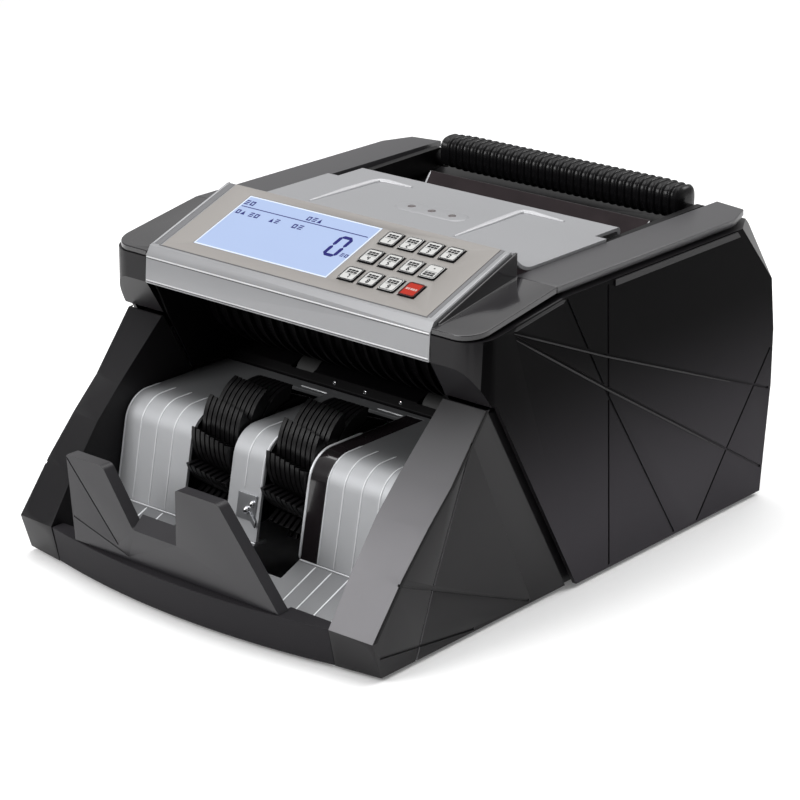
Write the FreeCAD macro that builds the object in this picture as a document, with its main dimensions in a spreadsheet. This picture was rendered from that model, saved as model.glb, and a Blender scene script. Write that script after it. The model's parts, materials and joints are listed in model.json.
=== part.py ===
import FreeCAD, Part
import math
import os
import Sketcher
from FreeCAD import Placement, Rotation, Vector

# Banknote counting machine. Millimetres, +Z up, +X to the right as seen from the front, +Y to the back.
# Heights are measured from the floor. Depths (y) are measured from the front corner of the wings, and
# every sub-part is shifted forward by datum_to_middle, so the origin is the middle of the footprint.

DIMENSIONS = [
    ("datum_to_middle", 165.5, "front corner of the wings to the middle of the footprint"),
    ("wall", 2.5, "thickness of the moulded casing"),
    ("casing_gap", 0.3, "gap between neighbouring casing pieces"),
    ("floor_gap", 2.5, "underside of the casing above the floor"),
    # casing
    ("wing_in", 98.7, "half width of the stacker pocket"),
    ("wing_out", 125.1, "half width over the front wings"),
    ("shell_out", 128.5, "half width over the side shells"),
    ("base_top", 23.5, "height of the front wall"),
    ("base_bow", 10.5, "how far the front wall bows forward"),
    ("base_undercut", 4.5, "how far the front wall leans back at the floor"),
    ("pinch_y", 86.0, "depth of the pinch between wing and head"),
    ("pinch_z", 119.2, "height of the pinch between wing and head"),
    ("seam_foot_y", 154.5, "depth where the wing ends at the floor"),
    ("seam_gap", 5.0, "width of the dark groove between wing and side shell"),
    ("head_front", 75.3, "depth of the front of the head"),
    ("head_low", 141.0, "height of the lower edge of the head"),
    ("shell_top", 163.5, "height of the side shells under the rails"),
    ("rear_mid_y", 337.0, "depth of the rear face at its fullest"),
    ("rear_mid_z", 90.0, "height where the rear face is fullest"),
    ("rear_foot_y", 330.5, "depth of the rear face at the floor"),
    ("rear_top_y", 323.0, "depth of the rear face at its top"),
    ("rear_top_z", 160.0, "height of the top of the rear face"),
    ("corner_round", 15.0, "radius of the head's front corners"),
    ("groove_width", 1.4, "width of the engraved lines"),
    ("groove_depth", 0.8, "depth of the engraved lines"),
    # top frame
    ("rail_top", 169.3, "height of the top rails"),
    ("rail_thick", 3.6, "thickness of the top rails"),
    ("rail_out", 125.8, "half width over the top rails"),
    ("rail_front", 141.5, "depth where rails and pads meet"),
    ("pad_front_z", 158.4, "height of the gloss pads at the front"),
    # head panel
    ("panel_half", 98.7, "half width of the panel"),
    ("panel_y", 78.5, "depth of the lower edge of the sloping panel"),
    ("panel_z", 161.0, "height of the lower edge of the sloping panel"),
    ("panel_len", 64.0, "length of the sloping panel"),
    ("panel_slope", 19.75, "slope of the panel in degrees"),
    ("panel_thick", 3.0, "thickness of the panel"),
    ("overlay_half", 92.0, "half width of the keypad overlay"),
    ("overlay_thick", 0.8, "thickness of the keypad overlay"),
    ("lcd_left", -76.0, "left edge of the display"),
    ("lcd_width", 94.5, "width of the display"),
    ("lcd_low", 10.5, "lower edge of the display up the slope"),
    ("lcd_height", 47.5, "height of the display up the slope"),
    ("key_x", 29.9, "centre of the first key column"),
    ("key_s", 50.8, "centre of the first key row up the slope"),
    ("key_pitch_x", 13.5, "distance between key columns"),
    ("key_pitch_s", 16.6, "distance between key rows"),
    ("key_width", 10.4, "width of a key"),
    ("key_height", 11.0, "height of a key up the slope"),
    ("key_proud", 0.9, "how far a key stands out of the overlay"),
    ("key_travel", 0.8, "travel of a key"),
    # hopper
    ("plate_z", 170.8, "height of the hopper plate"),
    ("plate_rear", 242.3, "depth of the rear edge of the hopper plate"),
    ("plate_step", 219.5, "depth where the hopper plate narrows"),
    ("plate_half", 98.2, "half width of the hopper plate"),
    ("plate_rear_half", 90.5, "half width of the narrow rear part of the hopper plate"),
    ("rest_y", 286.5, "depth of the top edge of the note rest"),
    ("rest_z", 162.0, "height of the top edge of the note rest"),
    ("rest_half", 78.6, "half width of the note rest"),
    ("rest_lean", 52.0, "slope of the note rest in degrees"),
    ("rest_len", 56.0, "length of the note rest down its slope"),
    # carry handle
    ("grip_half", 86.0, "half length of the handle grip"),
    ("grip_y", 311.0, "depth of the middle of the handle grip"),
    ("grip_z", 168.4, "height of the middle of the handle grip"),
    ("grip_deep", 19.5, "depth of the handle grip"),
    ("grip_high", 20.0, "height of the handle grip"),
    ("grip_ribs", 32, "number of ribs along the handle grip"),
    ("pivot_y", 229.5, "depth of the handle pivot"),
    ("pivot_z", 161.0, "height of the handle pivot"),
    ("arm_in", 91.6, "inner face of a handle arm"),
    ("arm_thick", 4.4, "thickness of a handle arm"),
    # stacker
    ("face_foot_y", 47.0, "depth of the foot of the stacker plate"),
    ("face_foot_z", 28.0, "height of the foot of the stacker plate"),
    ("face_lean", 11.3, "lean of the stacker plate from upright in degrees"),
    ("face_bend", 17.0, "radius of the bend over the stacker plate"),
    ("deck_z", 82.3, "height of the deck behind the bend"),
    ("deck_rear", 134.8, "depth of the rear edge of the deck"),
    ("sheet_thick", 2.0, "thickness of the stacker plate and tray"),
    ("stacker_half", 98.2, "half width of the stacker plate"),
    ("slot_front_y", 33.0, "front end of the wheel slots in the tray"),
    ("slot_rear_y", 125.0, "rear end of the wheel slots in the deck"),
    ("slot_one", -32.8, "middle of the left wheel slot"),
    ("slot_two", 20.8, "middle of the right wheel slot"),
    ("slot_half", 15.4, "half width of a wheel slot"),
    ("strip_left", 36.9, "left edge of the smoked sensor strip"),
    ("strip_width", 10.8, "width of the smoked sensor strip"),
    ("tray_front", 15.5, "depth of the front edge of the tray"),
    ("tray_slope", 21.8, "slope of the tray in degrees"),
    ("stopper_front", -4.0, "front face of the note stopper"),
    ("stopper_thick", 7.4, "thickness of the note stopper"),
    ("stopper_top", 71.5, "height of the two towers of the note stopper"),
    # mechanism
    ("wheel_y", 88.0, "depth of the impeller shaft"),
    ("wheel_z", 58.5, "height of the impeller shaft"),
    ("wheel_radius", 38.5, "radius of an impeller over its vanes"),
    ("wheel_hub", 13.0, "radius of an impeller hub"),
    ("wheel_width", 28.0, "width of an impeller"),
    ("wheel_discs", 8, "vaned discs in an impeller"),
    ("wheel_vanes", 12, "vanes on a disc"),
    ("wheel_twist", 1.0, "turn from one disc to the next in degrees"),
    ("shaft_radius", 4.0, "radius of every shaft"),
    ("frame_in", 102.0, "inner face of the steel side frames"),
    ("frame_thick", 1.6, "thickness of the steel side frames"),
    ("feed_y", 195.0, "depth of the feed roller shaft"),
    ("feed_z", 88.0, "height of the feed roller shaft"),
    ("feed_radius", 20.0, "radius of the feed rollers"),
    ("pickup_y", 238.0, "depth of the pickup roller shaft"),
    ("pickup_z", 94.5, "height of the pickup roller shaft"),
    ("pickup_radius", 16.0, "radius of the pickup rollers"),
    ("transport_y", 152.0, "depth of the transport roller shaft"),
    ("transport_z", 80.0, "height of the transport roller shaft"),
    ("transport_radius", 12.0, "radius of the transport rollers"),
    ("pinch_roll_z", 102.3, "height of the pinch roller shaft"),
    ("pinch_roll_radius", 10.0, "radius of the pinch rollers"),
    ("drum_z", 131.4, "height of the middle of the ribbed upper guide"),
    ("drum_radius", 36.0, "radius of the ribbed upper guide"),
    ("motor_y", 222.0, "depth of the motor shaft"),
    ("motor_z", 40.0, "height of the motor shaft"),
    ("motor_radius", 18.0, "radius of the motor"),
    ("motor_pulley", 8.0, "pitch radius of the motor pulley"),
    ("feed_pulley", 20.0, "pitch radius of the feed shaft's belt pulley"),
    ("pickup_pulley", 20.0, "pitch radius of the pickup shaft's belt pulley"),
    ("transport_pulley", 10.0, "pitch radius of the transport shaft's belt pulley"),
    ("wheel_pulley", 32.0, "pitch radius of the impeller shaft's belt pulley"),
    ("belt_width", 5.0, "width of a belt"),
    ("belt_thick", 1.5, "thickness of a belt"),
    # rear fittings
    ("inlet_x", -72.0, "middle of the mains inlet"),
    ("fitting_z", 32.0, "height of the fittings in the rear cover"),
    ("switch_x", -36.0, "middle of the power switch"),
    ("knob_z", 118.0, "height of the feed gap knob"),
]

doc = FreeCAD.newDocument("BanknoteCounter")


class Size:
    """A length with its value and the sheet expression that it is worked out by."""

    def __init__(self, value, text):
        self.value = value
        self.text = text

    def _join(self, other, sign, value):
        return Size(value, "(%s %s %s)" % (self.text, sign, as_size(other).text))

    def __add__(self, other):
        return self._join(other, "+", self.value + number(other))

    def __sub__(self, other):
        return self._join(other, "-", self.value - number(other))

    def __mul__(self, other):
        return self._join(other, "*", self.value * number(other))

    def __truediv__(self, other):
        return self._join(other, "/", self.value / number(other))

    def __neg__(self):
        return Size(-self.value, "(-1 * %s)" % self.text)

    def __radd__(self, other):
        return as_size(other) + self

    def __rsub__(self, other):
        return as_size(other) - self

    def __rmul__(self, other):
        return as_size(other) * self


def number(size):
    return size.value if isinstance(size, Size) else float(size)


def as_size(size):
    return size if isinstance(size, Size) else Size(float(size), "(%.6g)" % size)


class Sheet:
    """The spreadsheet of driving dimensions; sheet.alias gives a Size."""

    def __init__(self, rows):
        self.object = doc.addObject("Spreadsheet::Sheet", "Dims")
        self.sizes = {}
        for row, (alias, value, meaning) in enumerate(rows, start=1):
            self.object.set("A%d" % row, meaning)
            self.object.set("B%d" % row, str(value))
            self.object.setAlias("B%d" % row, alias)
            self.sizes[alias] = Size(float(value), "Dims." + alias)

    def __getattr__(self, alias):
        return self.sizes[alias]


dims = Sheet(DIMENSIONS)
doc.recompute()

SLOPE_COS = Size(math.cos(math.radians(dims.panel_slope.value)), "cos(Dims.panel_slope * 1 deg)")
SLOPE_SIN = Size(math.sin(math.radians(dims.panel_slope.value)), "sin(Dims.panel_slope * 1 deg)")
nodes = []


# ---------------------------------------------------------------- helpers

def bind(thing, prop, size):
    """Set a property and, where the size comes from the sheet, its expression."""
    if isinstance(size, Size):
        thing.setExpression(prop, size.text)
    else:
        setattr(thing, prop, size)


def new_body(label):
    body = doc.addObject("PartDesign::Body", "Body_" + label)
    body.Label = label
    body.setExpression("Placement.Base.y", (-dims.datum_to_middle).text)
    nodes.append(body)
    return body


def sketch_on(body, role, offset=0.0):
    """A sketch on one of the body's own origin planes, moved along the plane's normal."""
    sketch = body.newObject("Sketcher::SketchObject", "Sketch")
    plane = [feature for feature in body.Origin.OriginFeatures if feature.Role == role][0]
    sketch.AttachmentSupport = (plane, [""])
    sketch.MapMode = "FlatFace"
    bound = as_size(offset)
    sketch.AttachmentOffset = Placement(Vector(0, 0, bound.value), Rotation())
    sketch.setExpression("AttachmentOffset.Base.z", bound.text)
    return sketch


def sketch_on_panel(body, height=0.0):
    """A sketch parallel to the sloping panel: x across, y up the slope."""
    sketch = sketch_on(body, "XY_Plane")
    y, z = on_panel(0.0, height)
    sketch.AttachmentOffset = Placement(Vector(0, y.value, z.value),
                                        Rotation(Vector(1, 0, 0), dims.panel_slope.value))
    sketch.setExpression("AttachmentOffset.Base.y", y.text)
    sketch.setExpression("AttachmentOffset.Base.z", z.text)
    sketch.setExpression("AttachmentOffset.Rotation.Angle", "Dims.panel_slope * 1 deg")
    return sketch


def on_panel(up, out):
    """Depth and height of a point up the panel's slope and out from its surface."""
    y = dims.panel_y + up * SLOPE_COS - out * SLOPE_SIN
    z = dims.panel_z + up * SLOPE_SIN + out * SLOPE_COS
    return y, z


def pin_point(sketch, edge, end, point):
    """Hold one end of an edge at a point, each coordinate bound to the sheet."""
    for kind, size in (("DistanceX", point[0]), ("DistanceY", point[1])):
        index = sketch.addConstraint(Sketcher.Constraint(kind, -1, 1, edge, end, number(size)))
        if isinstance(size, Size):
            sketch.setExpression("Constraints[%d]" % index, size.text)


def outline(sketch, points):
    """A closed polygon. A third value in a point bulges its side out to an arc by that much."""
    first = sketch.GeometryCount
    count = len(points)
    for index, point in enumerate(points):
        start = Vector(number(point[0]), number(point[1]), 0)
        after = points[(index + 1) % count]
        end = Vector(number(after[0]), number(after[1]), 0)
        if len(point) == 3:
            middle = (start + end) * 0.5
            across = (end - start).normalize()
            middle += Vector(across.y, -across.x, 0) * number(point[2])
            sketch.addGeometry(Part.Arc(start, middle, end), False)
        else:
            sketch.addGeometry(Part.LineSegment(start, end), False)
    for index, point in enumerate(points):
        if len(point) == 3:
            hold_arc(sketch, first + index, point, points[(index + 1) % count])
        else:
            pin_point(sketch, first + index, 1, point)
    for index in range(count):
        join_ends(sketch, first, index, points)


def hold_arc(sketch, edge, point, after):
    """Pin both ends of an arc and its radius."""
    start, end = 1, 2
    if sketch.getPoint(edge, 1).distanceToPoint(Vector(number(point[0]), number(point[1]), 0)) > 1e-6:
        start, end = 2, 1
    pin_point(sketch, edge, start, point)
    pin_point(sketch, edge, end, after)
    radius = sketch.Geometry[edge].Radius
    sketch.addConstraint(Sketcher.Constraint("Radius", edge, radius))


def join_ends(sketch, first, index, points):
    """Join an edge's far end to the next edge, where no pinned arc end already holds it."""
    count = len(points)
    if len(points[index]) == 3:
        return
    after = first + (index + 1) % count
    target = Vector(number(points[(index + 1) % count][0]), number(points[(index + 1) % count][1]), 0)
    near = 1 if sketch.getPoint(after, 1).distanceToPoint(target) < 1e-6 else 2
    sketch.addConstraint(Sketcher.Constraint("Coincident", first + index, 2, after, near))


def rectangle(sketch, x_low, y_low, width, height):
    outline(sketch, [(x_low, y_low), (x_low + width, y_low),
                     (x_low + width, y_low + height), (x_low, y_low + height)])


def circle(sketch, x, y, radius):
    index = sketch.addGeometry(Part.Circle(Vector(number(x), number(y), 0), Vector(0, 0, 1),
                                           number(radius)), False)
    pin_point(sketch, index, 3, (x, y))
    hold = sketch.addConstraint(Sketcher.Constraint("Radius", index, number(radius)))
    if isinstance(radius, Size):
        sketch.setExpression("Constraints[%d]" % hold, radius.text)


def pad(body, sketch, length, reverse=False, midplane=False):
    feature = body.newObject("PartDesign::Pad", "Pad")
    feature.Profile = sketch
    bind(feature, "Length", length)
    feature.Reversed = reverse
    feature.Midplane = midplane
    return feature


def pocket(body, sketch, length, reverse=False, midplane=False):
    """A cut; the volume is compared after it, so one that points away from the solid is caught."""
    feature = body.newObject("PartDesign::Pocket", "Pocket")
    feature.Profile = sketch
    bind(feature, "Length", length)
    feature.Reversed = reverse
    feature.Midplane = midplane
    cuts.append(feature)
    return feature


cuts = []


def edges_where(shape, test):
    return ["Edge%d" % (index + 1) for index, edge in enumerate(shape.Edges) if test(edge)]


def fillet(body, radius, test):
    """Round the edges of the body's present solid that pass a test on their middle point."""
    doc.recompute()
    base = body.Tip
    names = edges_where(base.Shape, lambda edge: test(edge, edge.BoundBox.Center))
    feature = body.newObject("PartDesign::Fillet", "Fillet")
    feature.Base = (base, names)
    bind(feature, "Radius", radius)
    doc.recompute()
    return feature


def inset(points, amounts):
    """The polygon moved inwards by one amount per side; a negative amount moves that side out."""
    flat = [Vector(number(point[0]), number(point[1]), 0) for point in points]
    count = len(flat)
    area = sum(flat[i].x * flat[(i + 1) % count].y - flat[(i + 1) % count].x * flat[i].y for i in range(count))
    turn = 1 if area > 0 else -1
    lines = []
    for index in range(count):
        run = (flat[(index + 1) % count] - flat[index]).normalize()
        inward = Vector(-run.y, run.x, 0) * turn
        lines.append((flat[index] + inward * number(amounts[index]), run))
    moved = []
    for index in range(count):
        before, run_before = lines[index - 1]
        start, run = lines[index]
        across = run_before.x * run.y - run_before.y * run.x
        reach = ((start.x - before.x) * run.y - (start.y - before.y) * run.x) / across
        corner = before + run_before * reach
        moved.append((corner.x, corner.y))
    return moved


def subtract(body, tool):
    """Cut another body, made as the hollow's shape, out of a body."""
    nodes.remove(tool)
    feature = body.newObject("PartDesign::Boolean", "Hollow")
    feature.setObjects([tool])
    feature.Type = 1
    tool.Placement = Placement()
    tool.setExpression("Placement.Base.y", None)
    return feature


def side_slab(label, points, x_low, x_high):
    """A body whose side view is a polygon of (y, z) points, from x_low to x_high."""
    body = new_body(label)
    sketch = sketch_on(body, "YZ_Plane", x_low)
    outline(sketch, points)
    pad(body, sketch, x_high - x_low)
    return body


def plan_slab(label, points, z_low, z_high):
    """A body whose plan is a polygon of (x, y) points, from z_low to z_high."""
    body = new_body(label)
    sketch = sketch_on(body, "XY_Plane", z_low)
    outline(sketch, points)
    pad(body, sketch, z_high - z_low)
    return body


def place(thing, x, y, z):
    """Bind a primitive's position, its y shifted from the datum to the footprint's middle."""
    thing.setExpression("Placement.Base.x", as_size(x).text)
    thing.setExpression("Placement.Base.y", (as_size(y) - dims.datum_to_middle).text)
    thing.setExpression("Placement.Base.z", as_size(z).text)


def box(x, y, z, width, depth, height, name="Box"):
    """A box from its low corner."""
    thing = doc.addObject("Part::Box", name)
    bind(thing, "Length", width)
    bind(thing, "Width", depth)
    bind(thing, "Height", height)
    place(thing, x, y, z)
    return thing


def rod_x(x, y, z, radius, length, name="Rod"):
    """A cylinder that runs along +X from its end at x."""
    thing = doc.addObject("Part::Cylinder", name)
    bind(thing, "Radius", radius)
    bind(thing, "Height", length)
    thing.Placement = Placement(Vector(), Rotation(Vector(0, 1, 0), 90))
    place(thing, x, y, z)
    return thing


def rod_y(x, y, z, radius, length, name="Rod"):
    """A cylinder that runs along +Y from its end at y."""
    thing = doc.addObject("Part::Cylinder", name)
    bind(thing, "Radius", radius)
    bind(thing, "Height", length)
    thing.Placement = Placement(Vector(), Rotation(Vector(1, 0, 0), -90))
    place(thing, x, y, z)
    return thing


def rod_z(x, y, z, radius, length, name="Rod"):
    thing = doc.addObject("Part::Cylinder", name)
    bind(thing, "Radius", radius)
    bind(thing, "Height", length)
    place(thing, x, y, z)
    return thing


def named(thing, label):
    thing.Label = label
    nodes.append(thing)
    return thing


def fuse(label, parts):
    joined = doc.addObject("Part::MultiFuse", "Fuse_" + label)
    joined.Shapes = parts
    return named(joined, label)


def group(label, parts):
    """Several separate solids in one node."""
    together = doc.addObject("Part::Compound", "Group_" + label)
    together.Links = parts
    return named(together, label)


def joined(parts):
    thing = doc.addObject("Part::MultiFuse", "Joined")
    thing.Shapes = parts
    return thing


def cut(label, base, tools):
    difference = doc.addObject("Part::Cut", "Cut_" + label)
    difference.Base = base
    difference.Tool = tools[0] if len(tools) == 1 else joined(tools)
    return named(difference, label)


def low_x(side, inner, outer):
    """The lower x of a slab from inner to outer on one side of the machine."""
    return inner if side > 0 else -outer


SIDES = (("left", -1), ("right", 1))


# ---------------------------------------------------------------- front casing

def front_base():
    """The bowed front wall with a seat for the note stopper, leaning back to the floor."""
    half = dims.wing_in - dims.casing_gap
    rear = dims.stopper_front + dims.stopper_thick + dims.casing_gap + 0.3
    body = new_body("front_base")
    levels = []
    for height, shift in ((dims.floor_gap, dims.base_undercut), (dims.base_top, as_size(0.0))):
        level = sketch_on(body, "XY_Plane", height)
        outline(level, [(-half, shift, dims.base_bow), (half, shift), (half, rear + 4), (-half, rear + 4)])
        levels.append(level)
    loft = body.newObject("PartDesign::AdditiveLoft", "Loft")
    loft.Profile = levels[0]
    loft.Sections = [levels[1]]
    loft.Ruled = True
    seat = sketch_on(body, "XY_Plane", dims.base_top + 1)
    rectangle(seat, -66.3, dims.stopper_front - dims.casing_gap, 132.6, rear + 10 - dims.stopper_front)
    pocket(body, seat, 4.5)
    well = sketch_on(body, "XY_Plane", dims.base_top - 8)
    rectangle(well, -64, dims.stopper_front + 2.5, 128, 30)
    pocket(body, well, 9)
    return body


def wing(name, side):
    """The cheek beside the stacker: inner and outer side views joined by a ruled front face."""
    body = new_body("wing_" + name)
    seam_top = (dims.pinch_y + 1.0, dims.pinch_z)
    seam_foot = (dims.seam_foot_y, dims.floor_gap)
    inner = [(dims.base_undercut, dims.floor_gap), (as_size(-0.4), dims.base_top),
             (16.4, 48.0), (35.5, 72.5), (52.2, 89.0), (dims.pinch_y - 0.4, dims.pinch_z),
             seam_top, seam_foot]
    outer = [(dims.base_undercut + 4, dims.floor_gap), (as_size(1.9), dims.base_top - 1),
             (24.0, 50.0), (43.5, 70.5), (60.5, 86.5), (dims.pinch_y + 0.6, dims.pinch_z - 0.4),
             (dims.pinch_y + 1.6, dims.pinch_z - 0.4), seam_foot]
    sections = []
    for points, x in ((inner, dims.wing_in), (outer, dims.wing_out)):
        view = sketch_on(body, "YZ_Plane", x if side > 0 else -x)
        outline(view, points)
        sections.append(view)
    loft = body.newObject("PartDesign::AdditiveLoft", "Loft")
    loft.Profile = sections[0]
    loft.Sections = [sections[1]]
    loft.Ruled = True
    thin, open_side = dims.wall, -12.0
    amounts = [thin, thin, thin, thin, thin, thin, open_side, open_side]
    hollows = []
    for points, x in ((inner, dims.wing_in + thin), (outer, dims.wing_out - thin)):
        view = sketch_on(body, "YZ_Plane", x if side > 0 else -x)
        outline(view, inset(points, amounts))
        hollows.append(view)
    well = body.newObject("PartDesign::SubtractiveLoft", "Hollow")
    well.Profile = hollows[0]
    well.Sections = [hollows[1]]
    well.Ruled = True
    cuts.append(well)
    shaft_hole = sketch_on(body, "YZ_Plane", low_x(side, dims.wing_in - 1, dims.wing_in + 4))
    circle(shaft_hole, dims.wheel_y, dims.wheel_z, dims.shaft_radius + 2)
    pocket(body, shaft_hole, 5, reverse=True)
    for start, end in (((76.3, 104.9), (47.6, 38.3)), ((47.0, 36.9), (34.4, 2.5)),
                       ((21.4, 47.1), (124.9, 4.0)), ((7.5, 13.5), (80.0, 4.0))):
        engrave(body, side, dims.wing_out, start, end)
    tongue = sketch_on(body, "YZ_Plane", low_x(side, dims.wing_out - 5.0, dims.wing_out - 2.3))
    lap = dims.seam_gap + 8
    outline(tongue, [(dims.pinch_y - 1, dims.pinch_z - 4), (dims.pinch_y + 3 + lap, dims.pinch_z - 4),
                     (dims.seam_foot_y + lap, dims.floor_gap), (dims.seam_foot_y - 4, dims.floor_gap)])
    pad(body, tongue, 2.7)
    return body


def engrave(body, side, x_face, start, end):
    """An engraved straight line on a side face, from start to end given as (y, z)."""
    run = Vector(end[0] - start[0], end[1] - start[1], 0)
    across = Vector(-run.y, run.x, 0).normalize() * (dims.groove_width.value / 2)
    view = sketch_on(body, "YZ_Plane", x_face + 0.5 if side > 0 else -(x_face + 0.5))
    outline(view, [(start[0] + across.x, start[1] + across.y), (start[0] - across.x, start[1] - across.y),
                   (end[0] - across.x, end[1] - across.y), (end[0] + across.x, end[1] + across.y)])
    pocket(body, view, dims.groove_depth + 0.5, reverse=side < 0)


SHELL_LINES = (((104.0, 156.0), (180.9, 123.8)), ((180.9, 123.8), (334.5, 63.5)),
               ((106.0, 152.1), (181.7, 105.7)), ((181.7, 105.7), (330.0, 17.5)),
               ((146.5, 162.0), (181.8, 102.8)), ((181.8, 102.8), (247.0, 4.0)),
               ((334.5, 87.3), (294.5, 37.7)), ((294.5, 37.7), (268.4, 4.0)),
               ((180.7, 161.5), (188.0, 4.0)))


def shell_solid(label, side, points, x_in, x_out, radius, corner_back):
    """The side shell's block: its side view, a rounded front corner and a faceted rear corner."""
    body = side_slab(label, points, low_x(side, x_in, x_out), low_x(side, x_in, x_out) + x_out - x_in)
    outer = x_out.value
    front = number(points[0][0])
    fillet(body, radius, lambda edge, middle: abs(abs(middle.x) - outer) < 0.1
           and abs(middle.y - front) < 1 and edge.BoundBox.ZLength > 6)
    corner = sketch_on(body, "YZ_Plane", x_out if side > 0 else -x_out)
    outline(corner, [(301.0 - corner_back, 164.5), (332.5 - corner_back, 128.6), (370.0, 85.2),
                     (370.0, 175.0), (292.1 - corner_back, 175.0)])
    facet = pocket(body, corner, 40)
    facet.UseCustomVector = True
    facet.Direction = Vector(-11.5 * side, 20.0, 0)
    facet.AlongSketchNormal = False
    return body


def side_shell(name, side):
    """The side of the casing with the head's cheek: a block hollowed out to its wall."""
    gap = dims.seam_gap
    view = [
        (dims.head_front, dims.head_low), (dims.pinch_y + 1.5, dims.pinch_z + 1.6),
        (dims.pinch_y + gap, dims.pinch_z + 1.6), (dims.seam_foot_y + gap, dims.floor_gap),
        (dims.rear_foot_y, dims.floor_gap), (dims.rear_mid_y, dims.rear_mid_z - 25),
        (dims.rear_mid_y, dims.rear_mid_z + 8), (dims.rear_mid_y - 4, dims.rear_mid_z + 38),
        (dims.rear_top_y, dims.rear_top_z), (dims.rear_top_y - 4, dims.shell_top),
        (dims.rail_front + 5, dims.shell_top), (dims.head_front + 16, dims.pad_front_z - 2.2),
        (dims.head_front + 0.2, dims.pad_front_z - 3.4)]
    thin = dims.wall
    amounts = [thin, thin, -1.0, -12.0] + [thin] * 9
    inner_face = dims.wing_in + dims.casing_gap
    body = shell_solid("side_shell_" + name, side, view, inner_face, dims.shell_out,
                       dims.corner_round, 0.0)
    hollow = shell_solid("hollow_" + name, side, inset(view, amounts), inner_face - 5,
                         dims.shell_out - thin, dims.corner_round - thin, 3.5)
    subtract(body, hollow)
    for start, end in SHELL_LINES:
        engrave(body, side, dims.shell_out, start, end)
    return body


def note_stopper():
    """The upright plate in front of the stacker: two towers with slanting right edges."""
    top = dims.stopper_top
    body = new_body("note_stopper")
    view = sketch_on(body, "XZ_Plane", -dims.stopper_front)
    seat, ledge = dims.base_top - 3.2, dims.base_top + dims.casing_gap
    outline(view, [(-66, seat), (66, seat), (66, ledge), (69.0, ledge), (28.6, top), (-0.8, top),
                   (-1.2, 41.0), (-32.4, 41.0), (-53.5, top - 0.8), (-80.5, top - 0.8), (-76, ledge),
                   (-66, ledge)])
    pad(body, view, dims.stopper_thick, reverse=True)
    for radius, corners in ((5.0, ((-53.5, top - 0.8), (28.6, top))), (4.0, ((-32.4, as_size(41.0)),)),
                            (1.5, ((-80.5, top - 0.8), (-0.8, top)))):
        fillet(body, radius, lambda edge, middle: edge.BoundBox.YLength > 7
               and any(abs(middle.x - x) < 1 and abs(middle.z - z.value) < 1 for x, z in corners))
    back = dims.stopper_front + dims.stopper_thick
    bridge = sketch_on(body, "YZ_Plane", -32.4)
    outline(bridge, [(dims.stopper_front, 40.0), (back, 40.0), (back, 47.5), (dims.stopper_front, 41.0)])
    pad(body, bridge, 31.4)
    for start, end in (((-80.2, 69.0), (-43.5, 30.0)), ((-76.3, 37.0), (-35.9, 25.8))):
        engrave_front(body, start, end)
    return body


def engrave_front(body, start, end):
    """An engraved straight line on the stopper's front, from start to end given as (x, z)."""
    run = Vector(end[0] - start[0], end[1] - start[1], 0)
    across = Vector(-run.y, run.x, 0).normalize() * 0.45
    view = sketch_on(body, "XZ_Plane", -dims.stopper_front + 0.5)
    outline(view, [(start[0] + across.x, start[1] + across.y), (start[0] - across.x, start[1] - across.y),
                   (end[0] - across.x, end[1] - across.y), (end[0] + across.x, end[1] + across.y)])
    pocket(body, view, 1.0)


def rear_cover():
    """The back wall between the side shells, turned in under the carry handle at the top."""
    thin = dims.wall
    outer = [(dims.rear_foot_y, dims.floor_gap), (dims.rear_mid_y, dims.rear_mid_z - 25),
             (dims.rear_mid_y, dims.rear_mid_z + 8), (dims.rear_mid_y - 4, dims.rear_mid_z + 38),
             (dims.rear_top_y + 1, dims.rear_top_z - 4.5), (290.0, 151.0)]
    inner = [(290.0, 151.0 - thin), (dims.rear_top_y - 1, dims.rear_top_z - 4.5 - thin),
             (dims.rear_mid_y - 4 - thin, dims.rear_mid_z + 37.5),
             (dims.rear_mid_y - thin, dims.rear_mid_z + 8), (dims.rear_mid_y - thin, dims.rear_mid_z - 25),
             (dims.rear_foot_y - thin, dims.floor_gap)]
    half = dims.wing_in - dims.casing_gap
    body = side_slab("rear_cover", outer + inner, -half, half)
    for x, width, height in ((dims.inlet_x, 28.0, 20.4), (dims.switch_x, 13.6, 19.6)):
        window = sketch_on(body, "XZ_Plane", -dims.rear_mid_y - 5)
        rectangle(window, x - width / 2, dims.fitting_z - height / 2, width, height)
        pocket(body, window, 20, reverse=True)
    spindle = sketch_on(body, "XZ_Plane", -dims.rear_mid_y - 5)
    circle(spindle, 0.0, dims.knob_z, 3.1)
    pocket(body, spindle, 16, reverse=True)
    vents = sketch_on(body, "XZ_Plane", -dims.rear_mid_y - 5)
    for index in range(8):
        rectangle(vents, 40.0 + index * 6.0, 18.0, 2.4, 34.0)
    pocket(body, vents, 20, reverse=True)
    relief = sketch_on(body, "XY_Plane", 160.0)
    for x in (-half, half - 2.2):
        rectangle(relief, x, 285.0, 2.2, 37.2)
    pocket(body, relief, 13.5)
    return body


def bottom_plate():
    half = dims.wing_in - dims.casing_gap
    body = plan_slab("bottom_plate", [(-half, 8.6), (half, 8.6), (half, dims.rear_foot_y - 3.2),
                                      (-half, dims.rear_foot_y - 3.2)],
                     dims.floor_gap, dims.floor_gap + 2)
    return body


def feet():
    """Four rubber feet under the bottom plate."""
    pads = []
    for x in (-84.0, 84.0):
        for y in (26.0, 304.0):
            foot = doc.addObject("Part::Cone", "Foot")
            foot.Radius1 = 7.0
            foot.Radius2 = 8.5
            bind(foot, "Height", dims.floor_gap)
            place(foot, x, y, 0.0)
            pads.append(foot)
    group("feet", pads)


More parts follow.
